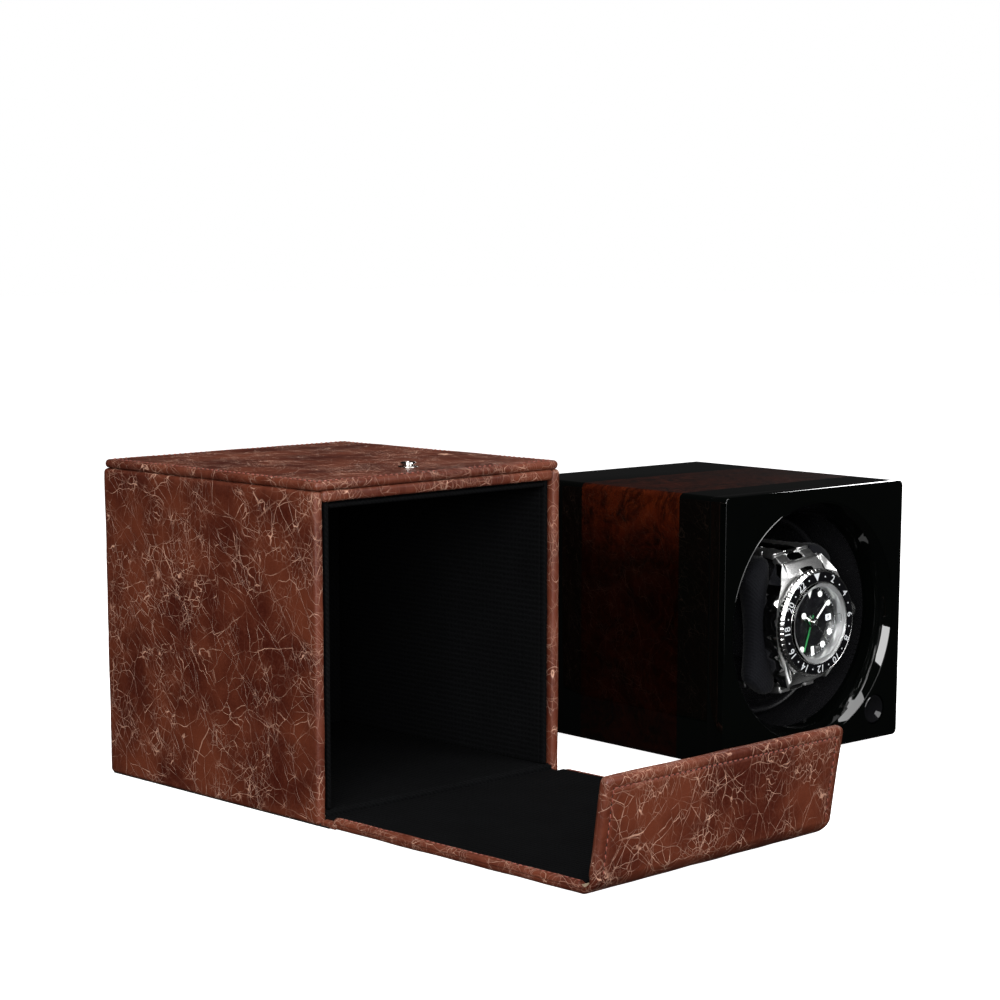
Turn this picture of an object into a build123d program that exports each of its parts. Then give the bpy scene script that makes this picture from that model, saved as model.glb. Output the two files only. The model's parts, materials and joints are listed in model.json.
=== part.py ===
from build123d import *
from math import cos, pi, radians, sin
import os

# Single watch winder with its leather travel case, in millimetres, +Z up.
# The origin is the centre of the travel case's base, on the surface that it stands on.
# The case opens towards -Y. Its door lies flat in front of it, and the winder stands on its right.

# ---- Driving dimensions ----------------------------------------------------------------------

# Travel case
case_w = 115.0
case_d = 118.0
case_h = 112.0
base_t = 1.2
base_inset = 1.0
leather_t = 1.0
board_t = 1.9
floor_board_t = 2.2
lip_t = 0.8
lip_depth = 12.0
lining_t = 3.3
floor_lining_t = 1.4
roof_lining_t = 2.3
back_lining_t = 1.7
lining_setback = 1.2
lining_groove = 1.5
roof_groove = 0.7
groove_depth = 2.5
wrap_round = 1.6
cover_t = 3.2
cover_side_inset = 0.5
stud_back = 18.0
stud_base_r = 3.5
stud_neck_r = 2.0
stud_head_r = 2.8
stud_t = 2.0

# Door and flap
panel_t = 3.8
panel_w = 113.0
panel_round = 1.6
panel_card_t = 2.0
panel_border = 2.6
hinge_gap = 0.3
hinge_to_hinge = 117.4
flap_length = 33.0
flap_lean = 8.4
flap_corner = 3.2
socket_wall = 1.3
socket_t = 0.8

# Winder
winder_w = 100.0
winder_d = 109.0
winder_h = 101.0
winder_x = 153.4
winder_y = -99.8
winder_yaw = -2.6
foot_t = 1.0
panel_depth = 8.0
housing_round = 2.2
housing_wall = 4.5
band_front = 23.3
band_back = 75.0
veneer_t = 0.6
cover_plate_t = 3.0
post_size = 9.0
screw_x = 41.0
screw_r = 1.5
screw_head_r = 2.8
screw_length = 12.0
foot_x = 38.0
foot_inset = 12.0
foot_r = 6.0

# Opening, rotor and drive
opening_r = 45.0
trim_inner_r = 41.0
trim_r = 45.9
trim_back_r = 44.5
trim_depth = 9.5
sleeve_back = 62.0
rotor_roll = -5.3
cup_r = 38.5
cup_inner_r = 36.3
cup_front = 26.0
cup_floor = 57.0
cup_back = 60.0
shaft_r = 3.0
gear_module = 1.0
gear_teeth = 48
pinion_teeth = 12
gear_front = 64.0
gear_back = 69.0
plate_front = 72.5
plate_back = 75.5
running_gap = 0.04
motor_angle = 225.0
motor_shaft_r = 1.5
motor_screw_x = 8.5
motor_screw_r = 1.25

# Push button
button_x = 36.3
button_z = -38.0
button_r = 5.6
button_gap = 0.3
button_flange_r = 6.4
spring_r = 4.1
spring_wire_r = 0.3
spring_turns = 4
switch_half = 2.6

# Watch and its holder
core_half_w = 10.6
core_front = 11.0
core_back = 50.0
core_half_h = 24.5
core_round = 11.0
cheek_x = 25.5
cheek_waist = 21.5
cheek_z = 19.5
cheek_top_x = 17.5
cheek_top = 27.5
cheek_front = 9.8
cheek_back = 21.0
cheek_taper = 6.0
base_front = 55.8
base_r = 21.0
arm_t = 3.0
arm_half = 14.0
watch_ahead = 3.0
bezel_r = 20.5
insert_r = 19.3
insert_inner_r = 15.9
dial_y = 5.4
dial_r = 13.9
dial_t = 0.5
plot_circle_r = 10.9
hand_t = 0.2
crown_r = 3.0
crown_y = 7.4
crown_near = 21.0
crown_far = 25.8
link_pitch = 6.0
link_t = 2.6

# ---- Derived positions -----------------------------------------------------------------------

half_w = case_w / 2
front_y = -case_d / 2
back_y = case_d / 2
board_x = half_w - leather_t
inner_x = board_x - board_t
roof_top = case_h - leather_t
roof_under = roof_top - board_t
floor_top = base_t + floor_board_t
cover_top = case_h + cover_t

# The door turns about the soft strip that its bottom edge shares with the base, a panel's thickness
# in front of the case, so that it stands against the case when it is closed.
door_axis = (0, front_y - hinge_gap - panel_t, 0)
flap_axis = (0, door_axis[1] - hinge_to_hinge, panel_t)

axis_z = winder_h / 2
housing_mid = foot_t / 2
housing_size = winder_h - foot_t
cavity = winder_w - 2 * housing_wall
rear_rebate = winder_d - cover_plate_t
winder_place = Location((winder_x, winder_y, axis_z), (0, 0, winder_yaw))
rotor_place = winder_place * Location((0, 0, 0), (0, rotor_roll, 0))
watch_place = rotor_place * Location((0, -watch_ahead, 0))

gear_r = gear_module * gear_teeth / 2
pinion_r = gear_module * pinion_teeth / 2
motor_x = (gear_r + pinion_r) * cos(radians(motor_angle))
motor_z = (gear_r + pinion_r) * sin(radians(motor_angle))
screw_spots = [(x, z) for x in (-screw_x, screw_x) for z in (housing_mid - screw_x, housing_mid + screw_x)]

os.makedirs("parts", exist_ok=True)


# ---- Helpers ---------------------------------------------------------------------------------

def block(low, high, mode=Mode.ADD):
    """A box between two opposite corners, in the part being built."""
    with Locations(Vector(*[(a + b) / 2 for a, b in zip(low, high)])):
        Box(*[b - a for a, b in zip(low, high)], mode=mode)


def facing(depth):
    """A sketch plane at Y = depth that faces the front: sketch x is X, sketch y is Z."""
    return Plane(origin=(0, depth, 0), x_dir=(1, 0, 0), z_dir=(0, -1, 0))


def half_section(*points):
    """A closed outline of (radius, depth) points, to be turned about the Y axis."""
    with BuildSketch(Plane.XY) as outline:
        with BuildLine():
            Polyline(*points, close=True)
        make_face()
    return outline.sketch


def bar(radius, front, back, x=0.0, z=0.0, mode=Mode.ADD):
    """A round bar along Y between two depths."""
    with Locations(Plane(origin=(x, (front + back) / 2, z), x_dir=(1, 0, 0), z_dir=(0, -1, 0))):
        Cylinder(radius, back - front, mode=mode)


def rounded_frame(width, height, corner, front, back, mode=Mode.ADD):
    """A block with its four Y edges rounded, centred on the housing."""
    with BuildSketch(facing(back)) as outline:
        with Locations((0, housing_mid)):
            RectangleRounded(width, height, corner)
    extrude(outline.sketch, amount=back - front, mode=mode)


def gear_outline(teeth, module, phase, centre=(0.0, 0.0)):
    """A spur gear's outline with straight-flanked teeth, thin enough to leave backlash."""
    pitch = teeth * module / 2
    root, tip = pitch - 1.2 * module, pitch + 0.85 * module
    step = 2 * pi / teeth
    points = []
    for tooth in range(teeth):
        middle = phase + tooth * step
        for radius, share in ((root, -0.31), (tip, -0.11), (tip, 0.11), (root, 0.31)):
            angle = middle + share * step
            points.append((centre[0] + radius * cos(angle), centre[1] + radius * sin(angle)))
    return points


def save(piece, name, place=None):
    """Labels a finished piece, sets it where it belongs and writes it."""
    if place is not None:
        piece.part.locate(place)
    piece.part.label = name
    export_step(piece.part, f"parts/{name}.step")


# ---- Travel case -----------------------------------------------------------------------------

# The sheet under the case runs on in front of it as the door's soft hinge.
with BuildPart() as base_sheet:
    sheet_x = half_w - base_inset
    block((-sheet_x, door_axis[1], 0), (sheet_x, back_y - base_inset, base_t))
save(base_sheet, "base_sheet")

with BuildPart() as floor_board:
    block((-board_x, front_y + leather_t, base_t), (board_x, back_y - leather_t, floor_top))
save(floor_board, "floor_board")

with BuildPart() as side_boards:
    for near, far in ((-board_x, -inner_x), (inner_x, board_x)):
        block((near, front_y + leather_t, floor_top), (far, back_y - leather_t, roof_top))
save(side_boards, "side_boards")

with BuildPart() as roof_board:
    block((-inner_x, front_y + leather_t, roof_under), (inner_x, back_y - leather_t, roof_top))
save(roof_board, "roof_board")

back_board_front = back_y - leather_t - board_t
with BuildPart() as back_board:
    block((-inner_x, back_board_front, floor_top), (inner_x, back_y - leather_t, roof_under))
save(back_board, "back_board")

# One skin over both sides, the roof and the back, turned round the front edges and a little way inside.
lip_x = inner_x - lip_t
lip_z = roof_under - lip_t
with BuildPart() as leather_wrap:
    block((-half_w, front_y, base_t), (half_w, back_y, case_h))
    fillet(leather_wrap.edges().filter_by(Axis.Z), wrap_round)
    fillet(leather_wrap.faces().sort_by(Axis.Z)[-1].edges(), wrap_round)
    block((-board_x, front_y + leather_t, base_t), (board_x, back_y - leather_t, roof_top), Mode.SUBTRACT)
    block((-lip_x, front_y, base_t), (lip_x, front_y + leather_t, lip_z), Mode.SUBTRACT)
    for near, far in ((-inner_x, -lip_x), (lip_x, inner_x)):
        block((near, front_y + leather_t, floor_top), (far, front_y + lip_depth, roof_under))
    block((-lip_x, front_y + leather_t, lip_z), (lip_x, front_y + lip_depth, roof_under))
save(leather_wrap, "leather_wrap")

lining_front = front_y + lining_setback
lining_x = lip_x - lining_t
lining_top = lip_z - roof_lining_t
floor_lining_top = floor_top + floor_lining_t
back_lining_front = back_board_front - back_lining_t

with BuildPart() as lining_floor:
    block((-lip_x, lining_front, floor_top), (lip_x, back_board_front, floor_lining_top))
    fillet(lining_floor.faces().sort_by(Axis.Y)[0].edges().sort_by(Axis.Z)[-1], 0.6)
save(lining_floor, "lining_floor")

groove_back = lining_front + groove_depth
with BuildPart() as lining_sides:
    for near, far in ((-lip_x, -lining_x), (lining_x, lip_x)):
        block((near, lining_front, floor_lining_top), (far, back_board_front, lip_z))
    for near, far in ((-lip_x, -lip_x + lining_groove), (lip_x - lining_groove, lip_x)):
        block((near, lining_front, floor_lining_top), (far, groove_back, lip_z), Mode.SUBTRACT)
    fillet(lining_sides.edges().filter_by(Axis.Z).group_by(Axis.Y)[0], 0.6)
save(lining_sides, "lining_sides")

with BuildPart() as lining_roof:
    block((-lining_x, lining_front, lining_top), (lining_x, back_board_front, lip_z))
    block((-lining_x, lining_front, lip_z - roof_groove), (lining_x, groove_back, lip_z), Mode.SUBTRACT)
    fillet(lining_roof.faces().sort_by(Axis.Y)[0].edges().sort_by(Axis.Z)[0], 0.6)
save(lining_roof, "lining_roof")

with BuildPart() as lining_back:
    block((-lining_x, back_lining_front, floor_lining_top), (lining_x, back_board_front, lining_top))
save(lining_back, "lining_back")

# Thin covered board on the roof, which the flap closes onto.
cover_x = half_w - cover_side_inset
with BuildPart() as cover_board:
    block((-cover_x, front_y, case_h), (cover_x, back_y, cover_top))
    fillet(cover_board.edges().filter_by(Axis.Z), wrap_round)
    fillet(cover_board.faces().sort_by(Axis.Z)[-1].edges(), 1.5)
    fillet(cover_board.faces().sort_by(Axis.Z)[0].edges(), 0.7)
save(cover_board, "cover_board")

stud_y = front_y + stud_back
with BuildPart() as press_stud:
    third = stud_t / 3
    for level, radius in ((0, stud_base_r), (1, stud_neck_r), (2, stud_head_r)):
        with Locations((0, stud_y, cover_top + (level + 0.5) * third)):
            Cylinder(radius, third)
    fillet(press_stud.edges().group_by(Axis.Z)[-1], 0.4)
save(press_stud, "press_stud")

# ---- Door: hinged in soft leather along the case's front edge ----------------------------------

panel_x = panel_w / 2
card_x = panel_x - leather_t
panel_lining_x = panel_x - panel_border
card_low = leather_t
card_high = leather_t + panel_card_t
door_near = door_axis[1] - base_t - 0.2
door_far = flap_axis[1] + 0.3

with BuildPart() as door_leather:
    block((-panel_x, door_far, 0), (panel_x, door_near, panel_t))
    fillet(door_leather.edges().filter_by(Axis.Y), panel_round)
    fillet(door_leather.faces().sort_by(Axis.Y)[-1].edges().sort_by(Axis.Z)[0], 1.0)
    block((-card_x, door_far, card_low), (card_x, door_near, card_high), Mode.SUBTRACT)
    block((-panel_lining_x, door_far, card_high), (panel_lining_x, door_near, panel_t), Mode.SUBTRACT)
save(door_leather, "door_leather")

with BuildPart() as door_board:
    block((-card_x, door_far, card_low), (card_x, door_near, card_high))
save(door_board, "door_board")

with BuildPart() as door_lining:
    block((-panel_lining_x, door_far, card_high), (panel_lining_x, door_near, panel_t))
save(door_lining, "door_lining")

# ---- Flap: hinged on the door's far edge, folded up and leaning out a little --------------------

# Sketch x is X, sketch y runs up the flap, and local z runs from its inner face outwards.
flap_plane = Plane(
    origin=flap_axis,
    x_dir=(1, 0, 0),
    z_dir=(0, -cos(radians(flap_lean)), -sin(radians(flap_lean))),
)
flap_low = 0.3


def flap_sheet(inset, top_inset, corner, inner, outer, bottom=flap_low):
    """A flat sheet of the flap, with rounded top corners, between two depths from its inner face."""
    x = panel_x - inset
    top = flap_length - top_inset
    with BuildSketch(flap_plane.offset(inner)) as outline:
        with BuildLine():
            Polyline((-x, top - corner), (-x, bottom), (x, bottom), (x, top - corner))
            RadiusArc((x, top - corner), (x - corner, top), -corner)
            Line((x - corner, top), (-x + corner, top))
            RadiusArc((-x + corner, top), (-x, top - corner), -corner)
        make_face()
    return extrude(outline.sketch, amount=outer - inner, mode=Mode.PRIVATE)


flap_card_in = panel_t - card_high
flap_card_out = panel_t - card_low
card_corner = flap_corner - leather_t
lining_corner = flap_corner - panel_border
with BuildPart() as flap_leather:
    add(flap_sheet(0, 0, flap_corner, 0, panel_t))
    add(flap_sheet(leather_t, leather_t, card_corner, flap_card_in, flap_card_out), mode=Mode.SUBTRACT)
    add(flap_sheet(panel_border, panel_border, lining_corner, 0, flap_card_in), mode=Mode.SUBTRACT)
save(flap_leather, "flap_leather")

with BuildPart() as flap_board:
    add(flap_sheet(leather_t, leather_t, card_corner, flap_card_in, flap_card_out))
save(flap_board, "flap_board")

with BuildPart() as flap_lining:
    add(flap_sheet(panel_border, panel_border, lining_corner, 0, flap_card_in))
save(flap_lining, "flap_lining")

# Ring that the press stud snaps into when the flap is folded over the roof.
socket_up = stud_y - front_y + hinge_gap
with BuildPart() as snap_socket:
    with BuildSketch(flap_plane):
        with Locations((0, socket_up)):
            Circle(stud_head_r + 2 * socket_wall)
            Circle(stud_head_r + socket_wall, mode=Mode.SUBTRACT)
    extrude(amount=-socket_t)
save(snap_socket, "snap_socket")

# ---- Winder housing, in the winder's frame: the rotor axis is Y and the front face is at Y = 0 ----

with BuildPart() as front_panel:
    rounded_frame(winder_w, housing_size, housing_round, 0, panel_depth)
    chamfer(front_panel.faces().sort_by(Axis.Y)[0].edges(), 0.6)
    bar(trim_r, 0, panel_depth, mode=Mode.SUBTRACT)
    bar(button_r + button_gap, 0, panel_depth, button_x, button_z, Mode.SUBTRACT)
save(front_panel, "front_panel", winder_place)

with BuildPart() as housing_shell:
    rounded_frame(winder_w, housing_size, housing_round, panel_depth, winder_d)
    rounded_frame(cavity, cavity, 2.0, panel_depth, rear_rebate, Mode.SUBTRACT)
    rounded_frame(cavity + 3, cavity + 3, 2.0, rear_rebate, winder_d, Mode.SUBTRACT)
    with BuildSketch(facing(band_back)) as groove:
        with Locations((0, housing_mid)):
            Rectangle(winder_w + 10, winder_w + 10)
            RectangleRounded(
                winder_w - 2 * veneer_t,
                housing_size - 2 * veneer_t,
                housing_round - veneer_t,
                mode=Mode.SUBTRACT,
            )
    extrude(groove.sketch, amount=band_back - band_front, mode=Mode.SUBTRACT)
    for x, z in screw_spots:
        corner_x = (cavity / 2 - post_size / 2) * (1 if x > 0 else -1)
        corner_z = housing_mid + (cavity / 2 - post_size / 2) * (1 if z > housing_mid else -1)
        half = post_size / 2
        block((corner_x - half, plate_back, corner_z - half), (corner_x + half, rear_rebate, corner_z + half))
    for x, z in screw_spots:
        bar(screw_r, plate_back, rear_rebate, x, z, Mode.SUBTRACT)
save(housing_shell, "housing_shell", winder_place)

with BuildPart() as burl_band:
    rounded_frame(winder_w, housing_size, housing_round, band_front, band_back)
    rounded_frame(
        winder_w - 2 * veneer_t,
        housing_size - 2 * veneer_t,
        housing_round - veneer_t,
        band_front,
        band_back,
        Mode.SUBTRACT,
    )
save(burl_band, "burl_band", winder_place)

with BuildPart() as opening_trim:
    revolve(
        half_section(
            (opening_r, 0.2),
            (trim_r, 0.8),
            (trim_r, panel_depth),
            (trim_back_r, panel_depth),
            (trim_back_r, trim_depth + 1.5),
            (trim_inner_r, trim_depth + 1.5),
            (trim_inner_r, trim_depth),
        ),
        axis=Axis.Y,
    )
save(opening_trim, "opening_trim", winder_place)

with BuildPart() as inner_sleeve:
    bar(trim_inner_r + 1.2, trim_depth + 1.5, sleeve_back)
    bar(trim_inner_r, trim_depth + 1.5, sleeve_back, mode=Mode.SUBTRACT)
save(inner_sleeve, "inner_sleeve", winder_place)

foot_spots = [(x, y) for x in (-foot_x, foot_x) for y in (foot_inset, winder_d - foot_inset)]
with BuildPart() as felt_feet:
    for x, y in foot_spots:
        with Locations((x, y, -axis_z + foot_t / 2)):
            Cylinder(foot_r, foot_t)
save(felt_feet, "felt_feet", winder_place)

inlet_x = 31.0
inlet_z = -31.0
inlet_r = 4.0
plug_r = 2.85
plug_depth = 10.0
pin_r = 1.0
head_t = 1.6
with BuildPart() as rear_cover:
    rounded_frame(cavity + 2.6, cavity + 2.6, 1.8, rear_rebate, winder_d)
    bar(inlet_r, rear_rebate, winder_d, inlet_x, inlet_z, Mode.SUBTRACT)
    for x, z in screw_spots:
        bar(screw_r, rear_rebate, winder_d, x, z, Mode.SUBTRACT)
        bar(screw_head_r, winder_d - head_t, winder_d, x, z, Mode.SUBTRACT)
save(rear_cover, "rear_cover", winder_place)

with BuildPart() as cover_screws:
    for x, z in screw_spots:
        bar(screw_r, winder_d - screw_length, winder_d - head_t, x, z)
        bar(screw_head_r, winder_d - head_t, winder_d - 0.1, x, z)
        block((x - 2.0, winder_d - 0.9, z - 0.3), (x + 2.0, winder_d, z + 0.3), Mode.SUBTRACT)
        block((x - 0.3, winder_d - 0.9, z - 2.0), (x + 0.3, winder_d, z + 2.0), Mode.SUBTRACT)
save(cover_screws, "cover_screws", winder_place)

# ---- Drive -------------------------------------------------------------------------------------

boss_back = plate_back + 10.0
boss_r = 9.0
bush_r = 6.0
bush_flange_r = 7.5
bush_flange_t = 0.8
bush_depth = 5.5
with BuildPart() as motor_plate:
    rounded_frame(cavity - 0.6, cavity - 0.6, 1.5, plate_front, plate_back)
    bar(boss_r, plate_back, boss_back)
    bar(bush_r, plate_front, boss_back, mode=Mode.SUBTRACT)
    bar(3.5, plate_front, plate_back, motor_x, motor_z, Mode.SUBTRACT)
    for x, z in screw_spots:
        bar(screw_r, plate_front, plate_back, x, z, Mode.SUBTRACT)
    for side in (-motor_screw_x, motor_screw_x):
        bar(motor_screw_r, plate_front, plate_back, motor_x + side, motor_z, Mode.SUBTRACT)
save(motor_plate, "motor_plate", winder_place)

# Four screws hold the plate to the housing's posts, and two hold the motor to the plate.
with BuildPart() as drive_screws:
    for x, z in screw_spots:
        bar(screw_head_r, plate_front - head_t, plate_front, x, z)
        bar(screw_r, plate_front, plate_front + screw_length - head_t, x, z)
        block((x - 1.8, plate_front - head_t, z - 0.3), (x + 1.8, plate_front - 0.8, z + 0.3), Mode.SUBTRACT)
    for side in (-motor_screw_x, motor_screw_x):
        bar(2.2, plate_front - 1.4, plate_front, motor_x + side, motor_z)
        bar(motor_screw_r, plate_front, plate_back + 4, motor_x + side, motor_z)
save(drive_screws, "drive_screws", winder_place)

with BuildPart() as shaft_bearings:
    for flange_front, flange_back, front, back in (
        (plate_front - bush_flange_t, plate_front, plate_front, plate_front + bush_depth),
        (boss_back, boss_back + bush_flange_t, boss_back - bush_depth, boss_back),
    ):
        bar(bush_flange_r, flange_front, flange_back)
        bar(bush_r, front, back)
        bar(shaft_r + running_gap, min(flange_front, front), max(flange_back, back), mode=Mode.SUBTRACT)
save(shaft_bearings, "shaft_bearings", winder_place)

motor_r = 12.5
motor_step = plate_back + 10
motor_back = plate_back + 23
with BuildPart() as gear_motor:
    bar(motor_r, plate_back, motor_step, motor_x, motor_z)
    bar(motor_r - 0.5, motor_step, motor_back, motor_x, motor_z)
    fillet(gear_motor.edges().filter_by(GeomType.CIRCLE).sort_by(Axis.Y)[-1], 1.0)
    for side in (-5, 5):
        x = motor_x + side
        block((x - 1, motor_back, motor_z - 0.3), (x + 1, motor_back + 4, motor_z + 0.3))
    bar(motor_shaft_r + running_gap, plate_back, plate_back + 5, motor_x, motor_z, Mode.SUBTRACT)
    for side in (-motor_screw_x, motor_screw_x):
        bar(motor_screw_r, plate_back, plate_back + 4, motor_x + side, motor_z, Mode.SUBTRACT)
save(gear_motor, "gear_motor", winder_place)

# Tooth 0 of the gear points at the pinion, which has a gap there.
hub_r = 8.0
web_hole_circle = 15.0
web_hole_r = 3.6
with BuildPart() as drive_gear:
    with BuildSketch(facing(gear_back)):
        with BuildLine():
            Polyline(*gear_outline(gear_teeth, gear_module, radians(motor_angle)), close=True)
        make_face()
    extrude(amount=gear_back - gear_front)
    bar(hub_r, gear_back, gear_back + 2)
    bar(shaft_r, gear_front, gear_back + 2, mode=Mode.SUBTRACT)
    with BuildSketch(facing(gear_back)):
        with PolarLocations(web_hole_circle, 6):
            Circle(web_hole_r)
    extrude(amount=gear_back - gear_front, mode=Mode.SUBTRACT)
save(drive_gear, "drive_gear", winder_place)

pinion_phase = radians(motor_angle + 180 + 180 / pinion_teeth)
with BuildPart() as motor_pinion:
    with BuildSketch(facing(gear_back)):
        with BuildLine():
            Polyline(
                *gear_outline(pinion_teeth, gear_module, pinion_phase, (motor_x, motor_z)),
                close=True,
            )
        make_face()
    extrude(amount=gear_back - gear_front)
    bar(motor_shaft_r, gear_front - 0.5, plate_back + 4, motor_x, motor_z)
save(motor_pinion, "motor_pinion", winder_place)

with BuildPart() as rotor_shaft:
    bar(shaft_r, cup_back + 2, boss_back + 5)
    bar(5.0, boss_back + 1.2, boss_back + 3.0)
save(rotor_shaft, "rotor_shaft", winder_place)

peg_half = 4.0
peg_gap = 0.3
peg_back = 60.5
with BuildPart() as rotor_cup:
    revolve(
        half_section(
            (0, cup_back + 4),
            (9, cup_back + 4),
            (9, cup_back),
            (cup_r - 2, cup_back),
            (cup_r, cup_back - 2),
            (cup_r, cup_front + 0.8),
            (cup_r - 0.7, cup_front),
            (cup_inner_r + 0.8, cup_front),
            (cup_inner_r, cup_front + 0.8),
            (cup_inner_r, cup_floor - 3),
            (cup_inner_r - 3, cup_floor),
            (0, cup_floor),
        ),
        axis=Axis.Y,
    )
    bar(shaft_r, cup_back + 2, cup_back + 4, mode=Mode.SUBTRACT)
    half = peg_half + peg_gap
    block((-half, cup_floor, -half), (half, peg_back + peg_gap, half), Mode.SUBTRACT)
save(rotor_cup, "rotor_cup", rotor_place)

# ---- Electrics and push button -------------------------------------------------------------------

board_front = 96.0
board_back = 97.6
board_hole_r = 1.5
board_post_r = 2.8
board_spots = [(x, z) for x in (-26, 26) for z in (18, 38)]
switch_board_front = 14.0
switch_front = 12.3
with BuildPart() as circuit_board:
    block((-30, board_front, 14), (30, board_back, 42))
    for x, z in board_spots:
        bar(board_hole_r, board_front, board_back, x, z, Mode.SUBTRACT)
    # The controller chip, the speed switch, a capacitor and the connector.
    block((-14, board_front - 2.0, 24), (-4, board_front, 34))
    block((6, board_front - 7.0, 18), (18, board_front, 24))
    bar(4.0, board_front - 10.0, board_front, 10, 33)
    block((-24, board_front - 4.0, 22), (-19, board_front, 32))
save(circuit_board, "circuit_board", winder_place)

with BuildPart() as board_posts:
    for x, z in board_spots:
        bar(board_post_r, board_back, rear_rebate, x, z)
        bar(board_hole_r, board_front - 0.8, board_back, x, z)
save(board_posts, "board_posts", winder_place)

with BuildPart() as power_inlet:
    block((inlet_x - 5, rear_rebate - 12, inlet_z - 5.5), (inlet_x + 5, rear_rebate, inlet_z + 5.5))
    bar(inlet_r, rear_rebate, winder_d, inlet_x, inlet_z)
    bar(plug_r, winder_d - plug_depth, winder_d, inlet_x, inlet_z, Mode.SUBTRACT)
    bar(pin_r, winder_d - plug_depth, winder_d - 1, inlet_x, inlet_z)
save(power_inlet, "power_inlet", winder_place)

button_back = panel_depth + 1.4
with BuildPart() as push_button:
    bar(button_r, 0.3, button_back, button_x, button_z)
    fillet(push_button.edges().filter_by(GeomType.CIRCLE).sort_by(Axis.Y)[0], 0.8)
    bar(button_flange_r, panel_depth + 0.3, button_back, button_x, button_z)
    bar(1.5, button_back, button_back + 0.7, button_x, button_z)
    with Locations((button_x, -9.2, button_z)):
        Sphere(10.7, mode=Mode.SUBTRACT)
save(push_button, "push_button", winder_place)

# The spring sits between the button and the switch board, round the switch.
spring_front = button_back + spring_wire_r
spring_length = switch_board_front - button_back - 2 * spring_wire_r
with BuildPart() as button_spring:
    with BuildLine() as coil:
        Helix(
            spring_length / spring_turns,
            spring_length,
            spring_r,
            center=(button_x, spring_front, button_z),
            direction=(0, 1, 0),
        )
    with BuildSketch(Plane(origin=coil.line @ 0, z_dir=coil.line % 0)) as wire:
        Circle(spring_wire_r)
    sweep(wire.sketch, path=coil.line)
save(button_spring, "button_spring", winder_place)

with BuildPart() as switch_board:
    block((29, switch_board_front, button_z - 4.8), (cavity / 2, switch_board_front + 1.2, button_z + 6.5))
    block(
        (button_x - switch_half, switch_front, button_z - switch_half),
        (button_x + switch_half, switch_board_front, button_z + switch_half),
    )
    bar(1.7, button_back + 2.1, switch_front, button_x, button_z)
save(switch_board, "switch_board", winder_place)

# ---- Watch holder, in the rotor's frame ------------------------------------------------------------

with BuildPart() as holder_core:
    with BuildSketch(Plane.YZ):
        with Locations(((core_front + core_back) / 2, 0)):
            RectangleRounded(core_back - core_front, 2 * core_half_h, core_round)
    extrude(amount=core_half_w, both=True)
save(holder_core, "holder_core", rotor_place)

with BuildPart() as cushions:
    with BuildSketch(facing(cheek_back)) as cheek:
        with BuildLine():
            Polyline(
                (cheek_x, cheek_z),
                (cheek_top_x, cheek_top),
                (core_half_w, cheek_top),
                (core_half_w, -cheek_top),
                (cheek_top_x, -cheek_top),
                (cheek_x, -cheek_z),
            )
            ThreePointArc((cheek_x, -cheek_z), (cheek_waist, 0), (cheek_x, cheek_z))
        make_face()
    extrude(amount=cheek_back - cheek_front)
    with BuildSketch(Plane.XY) as taper:
        with BuildLine():
            Polyline(
                (cheek_x, cheek_back - cheek_taper),
                (cheek_x, cheek_back),
                (cheek_x - cheek_taper, cheek_back),
                close=True,
            )
        make_face()
    extrude(taper.sketch, amount=cheek_top, both=True, mode=Mode.SUBTRACT)
    mirror(about=Plane.YZ)
save(cushions, "cushions", rotor_place)

with BuildPart() as holder_base:
    bar(base_r, base_front, cup_floor)
    for near, far in ((-core_half_w - arm_t, -core_half_w), (core_half_w, core_half_w + arm_t)):
        block((near, cheek_back, -arm_half), (far, base_front, arm_half))
    block((-peg_half, cup_floor, -peg_half), (peg_half, peg_back, peg_half))
save(holder_base, "holder_base", rotor_place)

# ---- Watch -------------------------------------------------------------------------------------------

# The watch has a frame of its own, further forward than the rotor's by watch_ahead.
case_front = 4.6
case_back = 11.2
barrel_x = 19.8
lug_x = 14.4
lug_z = 24.0
notch_x = 10.1
notch_z = 18.6
slope_z = 16.5
slope_y = 8.6
collar_r = 15.5
collar_front = 1.4
guard_z = (3.5, 8.0)
guard_x = (17.0, 22.6)
guard_y = (5.4, 9.6)
stem_r = 0.8
with BuildPart() as watch_case:
    with BuildSketch(facing(case_back)):
        with BuildLine():
            ThreePointArc((lug_x, -lug_z), (barrel_x, 0), (lug_x, lug_z))
            Line((lug_x, lug_z), (-lug_x, lug_z))
            ThreePointArc((-lug_x, lug_z), (-barrel_x, 0), (-lug_x, -lug_z))
            Line((-lug_x, -lug_z), (lug_x, -lug_z))
        make_face()
    extrude(amount=case_back - case_front)
    for up in (-1, 1):
        low, high = sorted((up * notch_z, up * (lug_z + 1)))
        block((-notch_x, case_front, low), (notch_x, case_back, high), Mode.SUBTRACT)
        with BuildSketch(Plane.YZ) as slope:
            with BuildLine():
                Polyline(
                    (case_front, up * slope_z),
                    (case_front, up * (lug_z + 1)),
                    (slope_y, up * (lug_z + 1)),
                    close=True,
                )
            make_face()
        extrude(slope.sketch, amount=barrel_x, both=True, mode=Mode.SUBTRACT)
        low, high = sorted(up * z for z in guard_z)
        block((guard_x[0], guard_y[0], low), (guard_x[1], guard_y[1], high))
    bar(collar_r, collar_front, case_front)
    bar(dial_r, collar_front, case_back, mode=Mode.SUBTRACT)
    revolve(half_section((14.2, 1.5), (14.2, dial_y), (12.9, dial_y), (13.6, 1.5)), axis=Axis.Y)
    with Locations(Plane(origin=(guard_x[0], crown_y, 0), z_dir=(1, 0, 0))):
        Cylinder(stem_r + 0.05, 8, mode=Mode.SUBTRACT)
save(watch_case, "watch_case", watch_place)

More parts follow.
